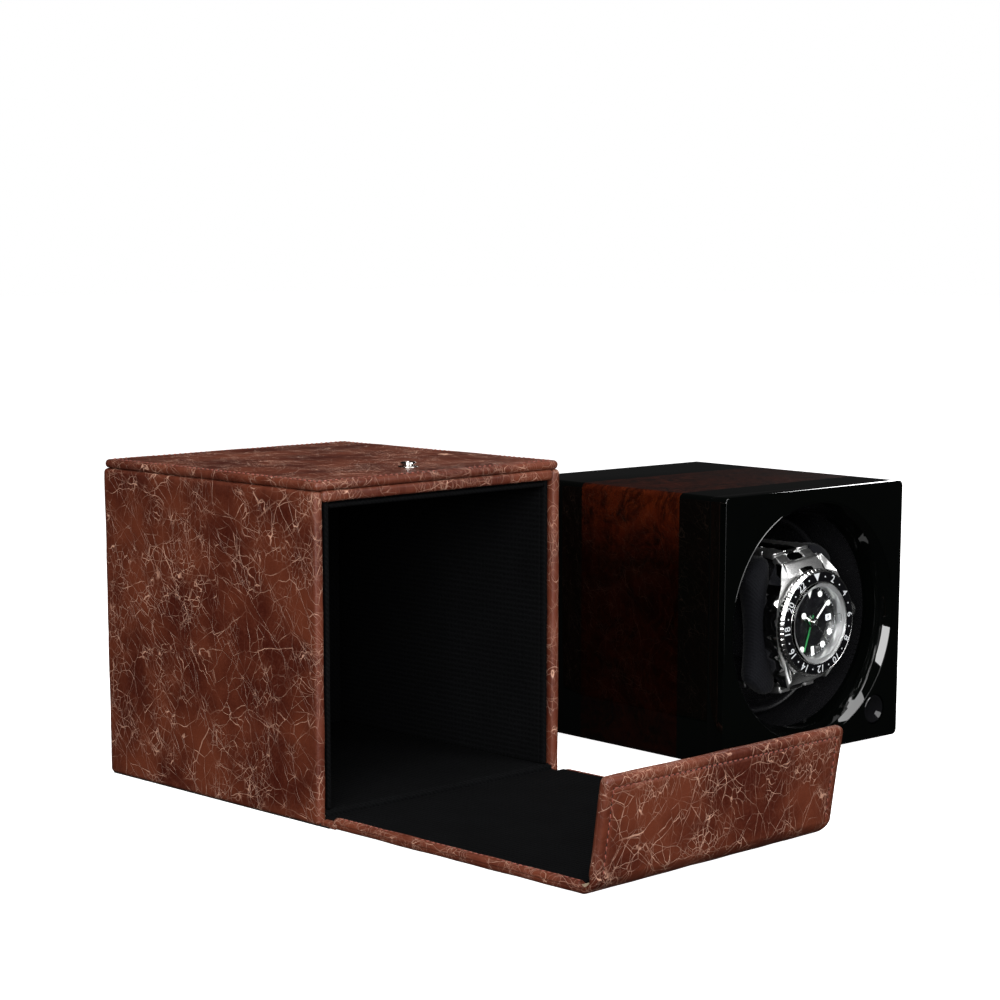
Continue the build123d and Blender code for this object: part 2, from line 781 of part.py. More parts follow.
with BuildPart() as case_back_cover:
    bar(17, case_back, case_back + 1.4)
    chamfer(case_back_cover.faces().sort_by(Axis.Y)[-1].edges(), 0.8)
    with BuildSketch(facing(case_back + 1.4)):
        with PolarLocations(14, 6):
            Rectangle(2, 2)
    extrude(amount=0.5, mode=Mode.SUBTRACT)
save(case_back_cover, "case_back_cover", watch_place)

with BuildPart() as movement:
    bar(13.2, dial_y + dial_t, case_back - 0.2)
    bar(0.5, 3.0, dial_y + dial_t)
save(movement, "movement", watch_place)

with BuildPart() as dial:
    bar(dial_r, dial_y, dial_y + dial_t)
    bar(0.8, dial_y, dial_y + dial_t, mode=Mode.SUBTRACT)
save(dial, "dial", watch_place)

marker_front = dial_y - 0.25
with BuildPart() as hour_markers:
    with BuildSketch(facing(dial_y)):
        for hour in range(12):
            angle = radians(90 - 30 * hour)
            spot = (plot_circle_r * cos(angle), plot_circle_r * sin(angle))
            with Locations(spot):
                if hour == 0:
                    Triangle(a=2.6, b=3.4, c=3.4, rotation=180)
                elif hour in (6, 9):
                    Rectangle(2.9, 1.1, rotation=90 - 30 * hour)
                elif hour != 3:
                    Circle(0.95)
    extrude(amount=dial_y - marker_front)
save(hour_markers, "hour_markers", watch_place)

# The bezel's coin edge is a ring of small notches.
with BuildPart() as watch_bezel:
    revolve(
        half_section(
            (15.55, 4.4),
            (19.6, 4.4),
            (bezel_r, 3.6),
            (bezel_r, 2.0),
            (19.6, 1.0),
            (insert_r, 1.0),
            (insert_r, 1.5),
            (insert_inner_r, 1.5),
            (insert_inner_r, 0.9),
            (15.55, 0.9),
        ),
        axis=Axis.Y,
    )
    with BuildSketch(facing(4.4)) as notches:
        with PolarLocations(bezel_r + 0.25, 60):
            Circle(0.6)
    extrude(notches.sketch, amount=3.4, mode=Mode.SUBTRACT)
save(watch_bezel, "watch_bezel", watch_place)

with BuildPart() as bezel_insert:
    revolve(
        half_section((insert_inner_r, 1.5), (insert_r, 1.5), (insert_r, 1.1), (insert_inner_r, 0.8)),
        axis=Axis.Y,
    )
save(bezel_insert, "bezel_insert", watch_place)

lens_x = 9.4
with BuildPart() as crystal:
    bar(15.3, 0.2, 1.4)
    with BuildSketch(facing(0.2)):
        with Locations((lens_x, 0)):
            RectangleRounded(4.6, 3.6, 1.2)
    extrude(amount=0.4)
save(crystal, "crystal", watch_place)


def hand(front, length, width, tail, spot_at=0.0, spot_r=0.0):
    """A watch hand pointing to 12, with its collar, at a depth in the watch's frame."""
    with BuildPart() as blade:
        with BuildSketch(facing(front + hand_t)):
            Circle(1.3)
            with BuildLine():
                Polyline(
                    (-width / 2, -tail),
                    (width / 2, -tail),
                    (width / 2, length - width),
                    (0, length),
                    (-width / 2, length - width),
                    close=True,
                )
            make_face()
            if spot_r:
                with Locations((0, spot_at)):
                    Circle(spot_r)
            Circle(0.55, mode=Mode.SUBTRACT)
        extrude(amount=hand_t)
    return blade


def clock_place(turn):
    """Where a hand built pointing to 12 lies after turning clockwise by an angle in degrees."""
    return watch_place * Location((0, 0, 0), (0, turn, 0))


save(hand(4.8, 11.6, 0.5, 2.5), "second_zone_hand", clock_place(204))
save(hand(4.3, 7.6, 1.1, 2.0, 5.6, 1.4), "hour_hand", clock_place(304))
save(hand(3.8, 11.4, 1.1, 2.5), "minute_hand", clock_place(50))
save(hand(3.3, 12.2, 0.35, 4.0, 7.6, 0.6), "seconds_hand", clock_place(141))

with BuildPart() as crown:
    with BuildSketch(Plane(origin=(crown_near, crown_y, 0), z_dir=(1, 0, 0))):
        Circle(crown_r)
        with PolarLocations(crown_r + 0.1, 24):
            Circle(0.22, mode=Mode.SUBTRACT)
    extrude(amount=crown_far - crown_near)
    with Locations(Plane(origin=(crown_near - 1.8, crown_y, 0), z_dir=(1, 0, 0))):
        Cylinder(stem_r, 3.8)
save(crown, "crown", watch_place)

# The bracelet follows the core, from the upper lugs round the back to the lower lugs.
link_gap = 0.4
path_z = core_half_h + link_gap + link_t / 2
path_y = core_back + link_gap + link_t / 2
path_bend = core_round + link_gap + link_t / 2
lug_exit = (9.2 - watch_ahead, 21.2)
shoulder_y = 15.4 - watch_ahead
with BuildLine(Plane.YZ) as bracelet_path:
    FilletPolyline(
        lug_exit,
        (shoulder_y, path_z),
        (path_y, path_z),
        (path_y, -path_z),
        (shoulder_y, -path_z),
        (lug_exit[0], -lug_exit[1]),
        radius=[4.0, path_bend, path_bend, 4.0],
    )
path = bracelet_path.wires()[0]
clasp_half = 13.0


def link_planes():
    """Where each link of the bracelet sits: x across the bracelet, z out of it."""
    count = round(path.length / link_pitch)
    planes = []
    for index in range(count):
        share = (index + 0.5) / count
        spot = path.position_at(share)
        if spot.Y > path_y - 0.5 and abs(spot.Z) < clasp_half + link_pitch / 2:
            continue
        along = path.tangent_at(share)
        planes.append(Plane(origin=spot, x_dir=(1, 0, 0), z_dir=(0, -along.Z, along.Y)))
    return planes


def links(x_list, width):
    """The links of one or more rows, each a separate solid with rounded ends."""
    with BuildPart() as rows:
        for plane in link_planes():
            for x in x_list:
                with Locations(plane * Location((x, 0, 0))):
                    Box(width, link_pitch - 0.8, link_t)
    return rows


centre_link_w = 7.6
side_link_w = 5.8
side_link_x = (centre_link_w + side_link_w) / 2 + 0.2
save(links((-side_link_x, side_link_x), side_link_w), "bracelet_side_links", rotor_place)
save(links((0,), centre_link_w), "bracelet_centre_links", rotor_place)

with BuildPart() as clasp:
    block((-8.5, core_back + link_gap, -clasp_half), (8.5, core_back + link_gap + 3.8, clasp_half))
    fillet(clasp.edges().filter_by(Axis.X), 1.0)
save(clasp, "clasp", rotor_place)
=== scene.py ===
"""How the watch winder and its travel case look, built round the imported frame.

Lengths in this script are millimetres until a mesh is made. Each piece is worked out in the row's own frame,
in the winder's frame or in the watch holder's frame.
"""

import json
import math

import bmesh
import bpy
from mathutils import Matrix, Vector, noise


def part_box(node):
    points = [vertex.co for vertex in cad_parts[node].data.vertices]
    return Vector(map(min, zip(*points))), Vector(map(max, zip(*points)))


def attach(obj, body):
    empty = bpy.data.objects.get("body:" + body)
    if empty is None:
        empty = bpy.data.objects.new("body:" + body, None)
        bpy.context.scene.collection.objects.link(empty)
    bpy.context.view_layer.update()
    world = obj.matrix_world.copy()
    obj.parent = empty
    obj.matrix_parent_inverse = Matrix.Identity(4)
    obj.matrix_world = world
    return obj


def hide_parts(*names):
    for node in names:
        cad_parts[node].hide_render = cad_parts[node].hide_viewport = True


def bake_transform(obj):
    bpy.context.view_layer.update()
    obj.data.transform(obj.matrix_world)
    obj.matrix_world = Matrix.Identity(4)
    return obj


MM = 0.001
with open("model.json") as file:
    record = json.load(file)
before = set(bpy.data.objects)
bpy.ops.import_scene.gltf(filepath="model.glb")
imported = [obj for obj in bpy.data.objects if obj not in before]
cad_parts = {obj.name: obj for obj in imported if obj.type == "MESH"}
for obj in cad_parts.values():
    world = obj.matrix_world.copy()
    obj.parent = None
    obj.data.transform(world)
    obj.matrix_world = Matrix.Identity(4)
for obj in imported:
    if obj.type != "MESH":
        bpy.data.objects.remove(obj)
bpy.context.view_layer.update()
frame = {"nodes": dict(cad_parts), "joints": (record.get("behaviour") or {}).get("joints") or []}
joints = {joint["name"]: joint for joint in frame["joints"]}


def span(node):
    """A CAD node's lowest and highest corners, in millimetres."""
    low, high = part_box(node)
    return low / MM, high / MM


# ---- Frames: the winder's Y is the rotor's axis, and the holder's X is the crown's --------------

def axes_frame(origin, x, y):
    """A placing matrix from an origin in metres and two unit axes."""
    z = x.cross(y)
    return Matrix.Translation(origin) @ Matrix((x, y, z)).transposed().to_4x4()


turn_axis = Vector(joints["rotor_spin"]["axis"]).normalized()
turn_origin = Vector(joints["rotor_spin"]["pos_m"])
crown_axis = Vector(joints["crown_turn"]["axis"]).normalized()
IN_ROW = Matrix.Identity(4)
IN_WINDER = axes_frame(turn_origin, turn_axis.cross(Vector((0, 0, 1))), turn_axis)
IN_HOLDER = axes_frame(turn_origin, crown_axis, turn_axis)
WATCH_AHEAD = 3.0           # how far the watch stands in front of the rotor's origin
IN_WATCH = IN_HOLDER @ Matrix.Translation((0, -WATCH_AHEAD * MM, 0))


# ---- Mesh building --------------------------------------------------------------------------------

def cuts(low, high, step, fine):
    """Cut positions from low to high, at most a step apart, and closer within a fine length of each end."""
    ends = [0, 0.12, 0.35, 0.65, 1.0]
    inner_low, inner_high = low + fine, high - fine
    count = max(1, math.ceil((inner_high - inner_low) / step))
    middle = [inner_low + (inner_high - inner_low) * k / count for k in range(1, count)]
    return [low + fine * e for e in ends] + middle + [high - fine * e for e in reversed(ends)]


def grid_box(xs, ys, zs):
    """The skin of a box, cut at the given places along each axis."""
    size = (len(xs) - 1, len(ys) - 1, len(zs) - 1)
    index, points, faces = {}, [], []

    def at(i, j, k):
        if (i, j, k) not in index:
            index[i, j, k] = len(points)
            points.append(Vector((xs[i], ys[j], zs[k])))
        return index[i, j, k]

    for i in range(size[0]):
        for j in range(size[1]):
            for k, flip in ((0, True), (size[2], False)):
                quad = [at(i, j, k), at(i + 1, j, k), at(i + 1, j + 1, k), at(i, j + 1, k)]
                faces.append(quad[::-1] if flip else quad)
    for i in range(size[0]):
        for k in range(size[2]):
            for j, flip in ((0, False), (size[1], True)):
                quad = [at(i, j, k), at(i + 1, j, k), at(i + 1, j, k + 1), at(i, j, k + 1)]
                faces.append(quad[::-1] if flip else quad)
    for j in range(size[1]):
        for k in range(size[2]):
            for i, flip in ((0, True), (size[0], False)):
                quad = [at(i, j, k), at(i, j + 1, k), at(i, j + 1, k + 1), at(i, j, k + 1)]
                faces.append(quad[::-1] if flip else quad)
    return points, faces


def round_slab(points, low, high, corner, edge, thick):
    """Rounds a box's points: its corners across the thick axis by corner, and its rims by edge."""
    a, b = [axis for axis in range(3) if axis != thick]
    t_low, t_high = low[thick] + edge, high[thick] - edge
    for p in points:
        radius = corner[1] if p[b] > (low[b] + high[b]) / 2 else corner[0]
        radius = max(radius, edge)
        base = [min(max(p[k], low[k] + radius), high[k] - radius) for k in (a, b)]
        off = [p[a] - base[0], p[b] - base[1]]
        length = math.hypot(*off)
        if length > 1e-9:
            reach = max(abs(off[0]), abs(off[1]))
            off = [o * reach / length for o in off]
            depth = radius - reach
            q_depth, q_t = max(depth, edge), min(max(p[thick], t_low), t_high)
            w_depth, w_t = depth - q_depth, p[thick] - q_t
            w_length = math.hypot(w_depth, w_t)
            if w_length > 1e-9:
                new_depth = q_depth + w_depth * edge / w_length
                p[thick] = q_t + w_t * edge / w_length
                off = [o * (radius - new_depth) / reach for o in off] if reach > 1e-9 else off
        p[a], p[b] = base[0] + off[0], base[1] + off[1]
    return points


def slab(low, high, edge, corner=0.0, thick=2, step=4.0, more=None):
    """A slab with rounded rims, as (points, faces). corner is one radius, or one for each end of the long side."""
    corner = corner if isinstance(corner, tuple) else (corner, corner)
    fine = [max(edge, *corner)] * 3
    fine[thick] = edge
    rows = [sorted(set(cuts(low[k], high[k], step, min(fine[k], (high[k] - low[k]) / 2.01)) +
                       list((more or {}).get(k, ())))) for k in range(3)]
    points, faces = grid_box(*rows)
    return round_slab(points, low, high, corner, edge, thick), faces


def lathe(profile, steps=128):
    """A closed profile of (radius, depth) points turned about the Y axis."""
    count = len(profile)
    points = [
        Vector((r * math.cos(2 * math.pi * k / steps), y, r * math.sin(2 * math.pi * k / steps)))
        for k in range(steps)
        for r, y in profile
    ]
    faces = []
    for k in range(steps):
        near, far = k * count, (k + 1) % steps * count
        for i in range(count):
            j = (i + 1) % count
            faces.append([near + i, near + j, far + j, far + i])
    return points, faces


def soften(outline, radii, segments=4):
    """A closed outline with its corners turned into arcs. radii is one number, or one for each corner."""
    count = len(outline)
    radii = radii if isinstance(radii, (list, tuple)) else [radii] * count
    smooth = []
    for k, radius in enumerate(radii):
        here = Vector(outline[k])
        before, after = Vector(outline[k - 1]) - here, Vector(outline[(k + 1) % count]) - here
        if radius <= 0:
            smooth.append(tuple(here))
            continue
        half = before.angle(after) / 2
        back = min(radius / math.tan(half), before.length * 0.49, after.length * 0.49)
        start, end = here + before.normalized() * back, here + after.normalized() * back
        for step in range(segments + 1):
            t = step / segments
            smooth.append(tuple(start * (1 - t) ** 2 + here * 2 * t * (1 - t) + end * t * t))
    return smooth


def extruded(outline, front, back):
    """An outline of (x, z) points extruded along Y."""
    count = len(outline)
    points = [Vector((x, y, z)) for y in (front, back) for x, z in outline]
    faces = [list(range(count)), list(range(2 * count - 1, count - 1, -1))]
    faces += [[k, k + count, (k + 1) % count + count, (k + 1) % count] for k in range(count)]
    return points, faces


def arc(radius, start, end, segments, centre=(0.0, 0.0)):
    """Points of an arc, in degrees anticlockwise."""
    turns = [math.radians(start + (end - start) * k / segments) for k in range(segments + 1)]
    return [(centre[0] + radius * math.cos(a), centre[1] + radius * math.sin(a)) for a in turns]


def merged(*parts):
    """Several (points, faces) as one."""
    points, faces = [], []
    for more_points, more_faces in parts:
        start = len(points)
        points += more_points
        faces += [[start + i for i in face] for face in more_faces]
    return points, faces


def placed(part, matrix):
    """A part moved by a matrix whose translation is in millimetres."""
    return [matrix @ p for p in part[0]], part[1]


def linked(name, data):
    """A new object, in the scene."""
    obj = bpy.data.objects.new(name, data)
    bpy.context.scene.collection.objects.link(obj)
    return obj


def evaluated(obj):
    """An object's mesh as its modifiers leave it."""
    bpy.context.view_layer.update()
    return bpy.data.meshes.new_from_object(obj.evaluated_get(bpy.context.evaluated_depsgraph_get()))


def paint(mesh, material):
    """Gives a mesh one material."""
    mesh.materials.clear()
    mesh.materials.append(material)


def ready(mesh, sharp=30.0):
    """Smooth shading, with edges kept sharp past an angle."""
    mesh.shade_smooth()
    mesh.set_sharp_from_angle(angle=math.radians(sharp))
    return mesh


def to_mesh(name, part, place=IN_ROW, sharp=35.0):
    """A mesh in metres, with matching points joined, normals outwards and edges kept sharp past an angle."""
    mesh = bpy.data.meshes.new(name)
    mesh.from_pydata([place @ (p * MM) for p in part[0]], [], part[1])
    work = bmesh.new()
    work.from_mesh(mesh)
    bmesh.ops.remove_doubles(work, verts=work.verts, dist=2e-6)
    bmesh.ops.dissolve_degenerate(work, edges=work.edges, dist=1e-6)
    bmesh.ops.recalc_face_normals(work, faces=work.faces)
    work.to_mesh(mesh)
    work.free()
    return ready(mesh, sharp)


def show(name, mesh, material, body, replaces=()):
    """Puts a finished mesh in the scene, riding on a body."""
    obj = linked(name, mesh)
    paint(mesh, material)
    if body:
        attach(obj, body)
    if replaces:
        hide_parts(*replaces)
    return obj


def piece(name, part, material, body, replaces=(), place=IN_ROW, sharp=35.0):
    """A visible piece made from (points, faces)."""
    return show(name, to_mesh(name, part, place, sharp), material, body, replaces)


def cut_out(mesh, *tools):
    """A mesh with other meshes cut out of it."""
    base = linked("cutting", mesh)
    helpers = []
    for tool in tools:
        helper = linked("cutter", tool)
        helpers.append(helper)
        modifier = base.modifiers.new("cut", "BOOLEAN")
        modifier.operation, modifier.solver, modifier.object = "DIFFERENCE", "EXACT", helper
    result = evaluated(base)
    for obj in [base, *helpers]:
        bpy.data.objects.remove(obj)
    return result


def bevelled(mesh, width, segments=3, angle=30.0):
    """A mesh with its sharp edges rounded by a width in millimetres."""
    obj = linked("bevelling", mesh)
    modifier = obj.modifiers.new("round", "BEVEL")
    modifier.width, modifier.segments, modifier.limit_method = width * MM, segments, "ANGLE"
    modifier.angle_limit, modifier.harden_normals = math.radians(angle), True
    modifier.use_clamp_overlap = True
    result = evaluated(obj)
    bpy.data.objects.remove(obj)
    return result


def relief(mesh, height, size, seed):
    """Moves points in and out a little, along their normals, by smooth noise."""
    offset = Vector((seed * 3.7, seed * 1.3, seed * 2.1))
    for vertex, normal in zip(mesh.vertices, [v.normal.copy() for v in mesh.vertices]):
        broad = noise.noise(vertex.co / (size * MM) + offset)
        small = noise.noise(vertex.co / (size * MM * 0.45) - offset)
        vertex.co += normal * (broad + 0.5 * small) * height * MM
    mesh.update()


def mark_wear(mesh):
    """Stores how strongly the surface bends at each point, so that the leather can be worn there."""
    bend = [0.0] * len(mesh.vertices)
    for edge in mesh.edges:
        a, b = (mesh.vertices[i] for i in edge.vertices)
        turn = (a.normal - b.normal).length
        length = max((a.co - b.co).length / MM, 0.05)
        for v in (a, b):
            bend[v.index] = max(bend[v.index], turn / length)
    attribute = mesh.attributes.new("wear", "FLOAT", "POINT")
    attribute.data.foreach_set("value", [min(1.0, value * 1.4) for value in bend])


# ---- Node helpers ---------------------------------------------------------------------------------

class Nodes:
    """A material's node tree, with short calls for the nodes that the materials below share."""

    def __init__(self, name, **plain):
        self.material = bpy.data.materials.new(name)
        self.material.use_nodes = True
        self.tree = self.material.node_tree
        self.shader = self.tree.nodes["Principled BSDF"]
        for socket, value in plain.items():
            self.shader.inputs[socket.replace("_", " ")].default_value = value
        self.place = self.tree.nodes.new("ShaderNodeTexCoord").outputs["Object"]

    def wire(self, value, socket):
        """Links a socket to a socket, or sets it to a constant."""
        if isinstance(value, bpy.types.NodeSocket):
            self.tree.links.new(value, socket)
        elif value is not None:
            socket.default_value = value

    def put(self, kind, inputs, **settings):
        node = self.tree.nodes.new(kind)
        for key, value in settings.items():
            setattr(node, key, value)
        for key, value in inputs.items():
            self.wire(value, node.inputs[key])
        return node

    def math(self, operation, a, b=None, c=None):
        node = self.tree.nodes.new("ShaderNodeMath")
        node.operation = operation
        for value, socket in zip((a, b, c), node.inputs):
            self.wire(value, socket)
        return node.outputs[0]

    def scaled(self, scale=(1, 1, 1), turn=(0, 0, 0), shift=(0, 0, 0), source=None):
        """Coordinates scaled, then turned by degrees, then shifted."""
        node = self.put("ShaderNodeMapping", {"Vector": source or self.place, "Scale": scale, "Location": shift})
        node.inputs["Rotation"].default_value = [math.radians(t) for t in turn]
        return node.outputs[0]

    def noise(self, scale, detail=3.0, rough=0.5, source=None, distortion=0.0, colour=False):
        inputs = {"Vector": source or self.place, "Scale": scale, "Detail": detail, "Roughness": rough,
                  "Distortion": distortion}
        return self.put("ShaderNodeTexNoise", inputs).outputs["Color" if colour else "Fac"]

    def warped(self, scale, amount, source=None, detail=3.0):
        """Coordinates pushed about by noise, by an amount in metres."""
        shift = self.put("ShaderNodeVectorMath", {0: self.noise(scale, detail, source=source, colour=True),
                                                  1: (0.5, 0.5, 0.5)}, operation="SUBTRACT")
        push = self.put("ShaderNodeVectorMath", {0: shift.outputs[0], "Scale": amount}, operation="SCALE")
        return self.put("ShaderNodeVectorMath", {0: source or self.place, 1: push.outputs[0]}).outputs[0]

    def cells(self, scale, source=None, feature="DISTANCE_TO_EDGE"):
        return self.put("ShaderNodeTexVoronoi", {"Vector": source or self.place, "Scale": scale},
                        feature=feature).outputs["Distance"]

    def ramp(self, value, low, high, out_low=0.0, out_high=1.0):
        """A value from low to high, eased onto out_low to out_high."""
        inputs = {"Value": value, "From Min": low, "From Max": high, "To Min": out_low, "To Max": out_high}
        return self.put("ShaderNodeMapRange", inputs, interpolation_type="SMOOTHSTEP").outputs[0]

    def mix(self, factor, a, b, blend="MIX"):
        node = self.tree.nodes.new("ShaderNodeMix")
        node.data_type, node.blend_type = "RGBA", blend
        self.wire(factor, node.inputs["Factor"])
        self.wire(a, node.inputs["A"])
        self.wire(b, node.inputs["B"])
        return node.outputs["Result"]

    def bump(self, height, depth, strength=1.0, under=None):
        """A bump of a depth in metres for a height of 1."""
        node = self.put("ShaderNodeBump", {"Height": height, "Distance": depth, "Strength": strength})
        if under is not None:
            self.tree.links.new(under, node.inputs["Normal"])
        return node.outputs[0]

    def attribute(self, name):
        return self.put("ShaderNodeAttribute", {}, attribute_name=name).outputs["Fac"]

    def finish(self, colour=None, roughness=None, normal=None, coat_normal=None):
        for value, socket in ((colour, "Base Color"), (roughness, "Roughness"), (normal, "Normal"),
                              (coat_normal, "Coat Normal")):
            if value is not None:
                self.wire(value, self.shader.inputs[socket])
        return self.material


def rgb(red, green, blue):
    """A linear colour with full alpha."""
    return (red, green, blue, 1.0)


# ---- Materials -------------------------------------------------------------------------------------

def leather():
    """Brown pull-up leather, covered in fine pale creases, and worn along its edges."""
    n = Nodes("creased_leather", Specular_IOR_Level=0.3)
    gentle = n.warped(26, 0.014, detail=4.0)
    wavy = n.warped(150, 0.0016, source=gentle, detail=3.0)

    def patches(scale, low, high, shift):
        return n.ramp(n.noise(scale, 2.0, 0.5, source=n.scaled(shift=shift)), low, high)

    def creases(scale, width, stretch, turn, source, mask):
        """Branching lines that run mostly one way: the borders of long cells, kept in patches."""
        turned = n.scaled(turn=turn, source=source)
        edge = n.cells(scale, n.scaled((1, 1, stretch), shift=mask[3], source=turned))
        return n.math("MULTIPLY", n.ramp(edge, 0.0, width, 1.0, 0.0), patches(*mask))

    # scale, line width, stretch, turn, source, and the mask's scale, threshold, full level and shift
    layers = (
        (40, 0.0036, 0.28, (38, 10, 25), gentle, (24, 0.36, 0.46, (1, 2, 3))),
        (52, 0.0046, 0.30, (52, -16, -20), gentle, (28, 0.38, 0.48, (5, 1, 2))),
        (74, 0.0062, 0.32, (12, 30, 60), gentle, (34, 0.38, 0.50, (3, 9, 1))),
        (110, 0.0092, 0.40, (48, -6, 110), wavy, (36, 0.42, 0.54, (6, 3, 5))),
        (150, 0.0125, 0.42, (-30, 22, 150), wavy, (40, 0.44, 0.56, (9, 5, 7))),
        (230, 0.0190, 0.45, (65, 10, -50), wavy, (44, 0.44, 0.58, (2, 4, 8))),
        (380, 0.0300, 0.55, (-15, 20, 75), wavy, (50, 0.46, 0.60, (7, 7, 2))),
    )
    crease = None
    for layer in layers:
        lines = creases(*layer)
        crease = lines if crease is None else n.math("MAXIMUM", crease, lines)
    crease = n.math("MULTIPLY", crease, n.math("MULTIPLY_ADD", patches(170, 0.36, 0.60, (4, 4, 4)), 0.85, 0.12))

    mottle = n.noise(45, 4.0, 0.55)
    flecks = n.noise(1100, 3.0, 0.6)
    base = n.mix(n.ramp(mottle, 0.3, 0.7), rgb(0.040, 0.0058, 0.0028), rgb(0.106, 0.0235, 0.0098))
    base = n.mix(n.ramp(flecks, 0.35, 0.8, 0.0, 0.30), base, rgb(0.120, 0.032, 0.0180))
    wear = n.math("MULTIPLY", n.attribute("wear"), n.ramp(n.noise(260, 4.0, 0.6), 0.3, 0.75, 0.03, 0.35))
    pale = n.mix(n.noise(130, 2.0), rgb(0.480, 0.275, 0.200), rgb(0.600, 0.330, 0.225))
    colour = n.mix(crease, base, pale)
    colour = n.mix(wear, colour, rgb(0.140, 0.044, 0.026))
    rough = n.math("MULTIPLY_ADD", crease, 0.15, n.ramp(mottle, 0.3, 0.7, 0.36, 0.46))
    under = n.bump(n.cells(1500, wavy, "F1"), 0.00010, 0.5)
    under = n.bump(n.noise(110, 3.0, 0.5), 0.00030, 0.35, under)
    return n.finish(colour, rough, n.bump(crease, -0.00025, 0.8, under))


def cloth(name, dark, light, thread=0.00042, sheen=0.25):
    """A weave of threads a given length apart in metres, with lint and uneven dye. sheen is its fuzz."""
    n = Nodes(name, Sheen_Weight=sheen, Sheen_Roughness=0.45, Specular_IOR_Level=0.04)
    turns = 2 * math.pi / thread / 20.0
    threads = []
    for turn in ((0, 0, 45), (45, 0, 0), (0, 45, 0)):
        wave = n.put("ShaderNodeTexWave", {"Vector": n.scaled(turn=turn), "Scale": turns / math.pi,
                                           "Distortion": 1.5, "Detail": 2.0, "Detail Scale": 3.0})
        threads.append(wave.outputs["Fac"])
    weave = n.math("MAXIMUM", n.math("MULTIPLY", threads[0], threads[1]), threads[2])
    lint = n.noise(1600, 3.0, 0.7)
    tone = n.math("MULTIPLY_ADD", weave, 0.5, n.ramp(lint, 0.3, 0.75, 0.0, 0.5))
    cloudy = n.noise(60, 3.0)
    colour = n.mix(tone, rgb(*dark), rgb(*light))
    colour = n.mix(n.ramp(cloudy, 0.3, 0.7, 0.0, 0.25), colour, rgb(*dark))
    height = n.math("MULTIPLY_ADD", lint, 0.4, weave)
    return n.finish(colour, n.ramp(lint, 0.2, 0.8, 0.75, 0.95), n.bump(height, 0.00016, 0.7))


def lacquer():
    """Black piano lacquer: a deep mirror with the faintest orange peel."""
    n = Nodes("piano_lacquer", Coat_Weight=1.0, Coat_Roughness=0.015, Specular_IOR_Level=0.02)
    peel = n.bump(n.noise(160, 2.0), 0.00002, 0.3)
    colour = n.mix(n.noise(40, 3.0), rgb(0.0004, 0.0006, 0.0005), rgb(0.0008, 0.0011, 0.0009))
    return n.finish(colour, n.ramp(n.noise(500, 4.0, 0.7), 0.3, 0.8, 0.05, 0.11), peel, peel)


PAINTED_SHADE_HEIGHT, PAINTED_LIGHT_HEIGHT = 0.070, 0.106      # heights in metres between which the burl's painted shade below gives way to painted light above


def burl():
    """Dark red-brown burl veneer under gloss lacquer, with painted shade darkening it low down and painted light
    brightening it near its top.
    """
    n = Nodes("burl_veneer", Coat_Weight=1.0, Coat_Roughness=0.02, Specular_IOR_Level=0.05)
    swirl = n.warped(38, 0.030, detail=5.0)
    flow = n.noise(55, 7.0, 0.68, source=n.scaled((1, 1, 1.5), source=swirl), distortion=1.2)
    eyes = n.cells(85, n.warped(120, 0.006, source=swirl), "F1")
    figure = n.noise(240, 5.0, 0.7, source=n.scaled((1, 2.4, 1), source=swirl))
    tone = n.mix(n.ramp(flow, 0.3, 0.72), rgb(0.0009, 0.0002, 0.0001), rgb(0.0135, 0.0017, 0.0004))
    tone = n.mix(n.ramp(figure, 0.42, 0.75, 0.0, 0.55), tone, rgb(0.0240, 0.0038, 0.0008))
    tone = n.mix(n.ramp(eyes, 0.0, 0.25, 0.85, 0.0), tone, rgb(0.0010, 0.0002, 0.0001))
    height = n.put("ShaderNodeSeparateXYZ", {0: n.place}).outputs["Z"]
    # Painted shade and painted light: the burl is darkened low down and brightened near its top, by height alone.
    stain_and_painted_light = n.ramp(height, PAINTED_SHADE_HEIGHT, PAINTED_LIGHT_HEIGHT, 0.30, 3.2)
    tone = n.mix(1.0, tone, stain_and_painted_light, blend="MULTIPLY")
    return n.finish(tone, n.ramp(figure, 0.3, 0.8, 0.25, 0.4))


def plastic(name, dark, light, low, high, grain=0.00003, scale=1400):
    """Moulded plastic with a fine spark-eroded texture."""
    n = Nodes(name, Specular_IOR_Level=0.5)
    speck = n.noise(scale, 4.0, 0.65)
    colour = n.mix(n.noise(90, 3.0), rgb(*dark), rgb(*light))
    return n.finish(colour, n.ramp(speck, 0.3, 0.75, low, high), n.bump(speck, grain, 0.6))


def metal(name, dark, light, low, high, stretch=(1, 1, 1), scale=1200, scratch=0.000006, facing=None):
    """Metal with fine lines along one direction, or an even polish. With facing, only faces that way are brushed."""
    n = Nodes(name, Metallic=1.0)
    lines = n.noise(scale, 4.0, 0.7, source=n.scaled(stretch))
    if facing is not None:
        normal = n.tree.nodes.new("ShaderNodeNewGeometry").outputs["Normal"]
        towards = n.put("ShaderNodeVectorMath", {0: normal, 1: tuple(facing)}, operation="DOT_PRODUCT")
        low = n.ramp(towards.outputs["Value"], 0.45, 0.75, 0.06, low)
        high = n.ramp(towards.outputs["Value"], 0.45, 0.75, 0.10, high)
    stain_and_painted_light = n.noise(110, 3.0)
    colour = n.mix(n.math("MULTIPLY_ADD", lines, 0.6, n.ramp(stain_and_painted_light, 0.3, 0.7, 0.0, 0.4)), rgb(*dark), rgb(*light))
    return n.finish(colour, n.ramp(lines, 0.3, 0.75, low, high), n.bump(lines, scratch, 0.7))


def glass(name):
    """Clear crystal, with the faintest smears."""
    n = Nodes(name, Transmission_Weight=1.0, IOR=1.5, Base_Color=rgb(0.985, 0.995, 1.0))
    return n.finish(roughness=n.ramp(n.noise(300, 3.0), 0.4, 0.8, 0.0, 0.012))


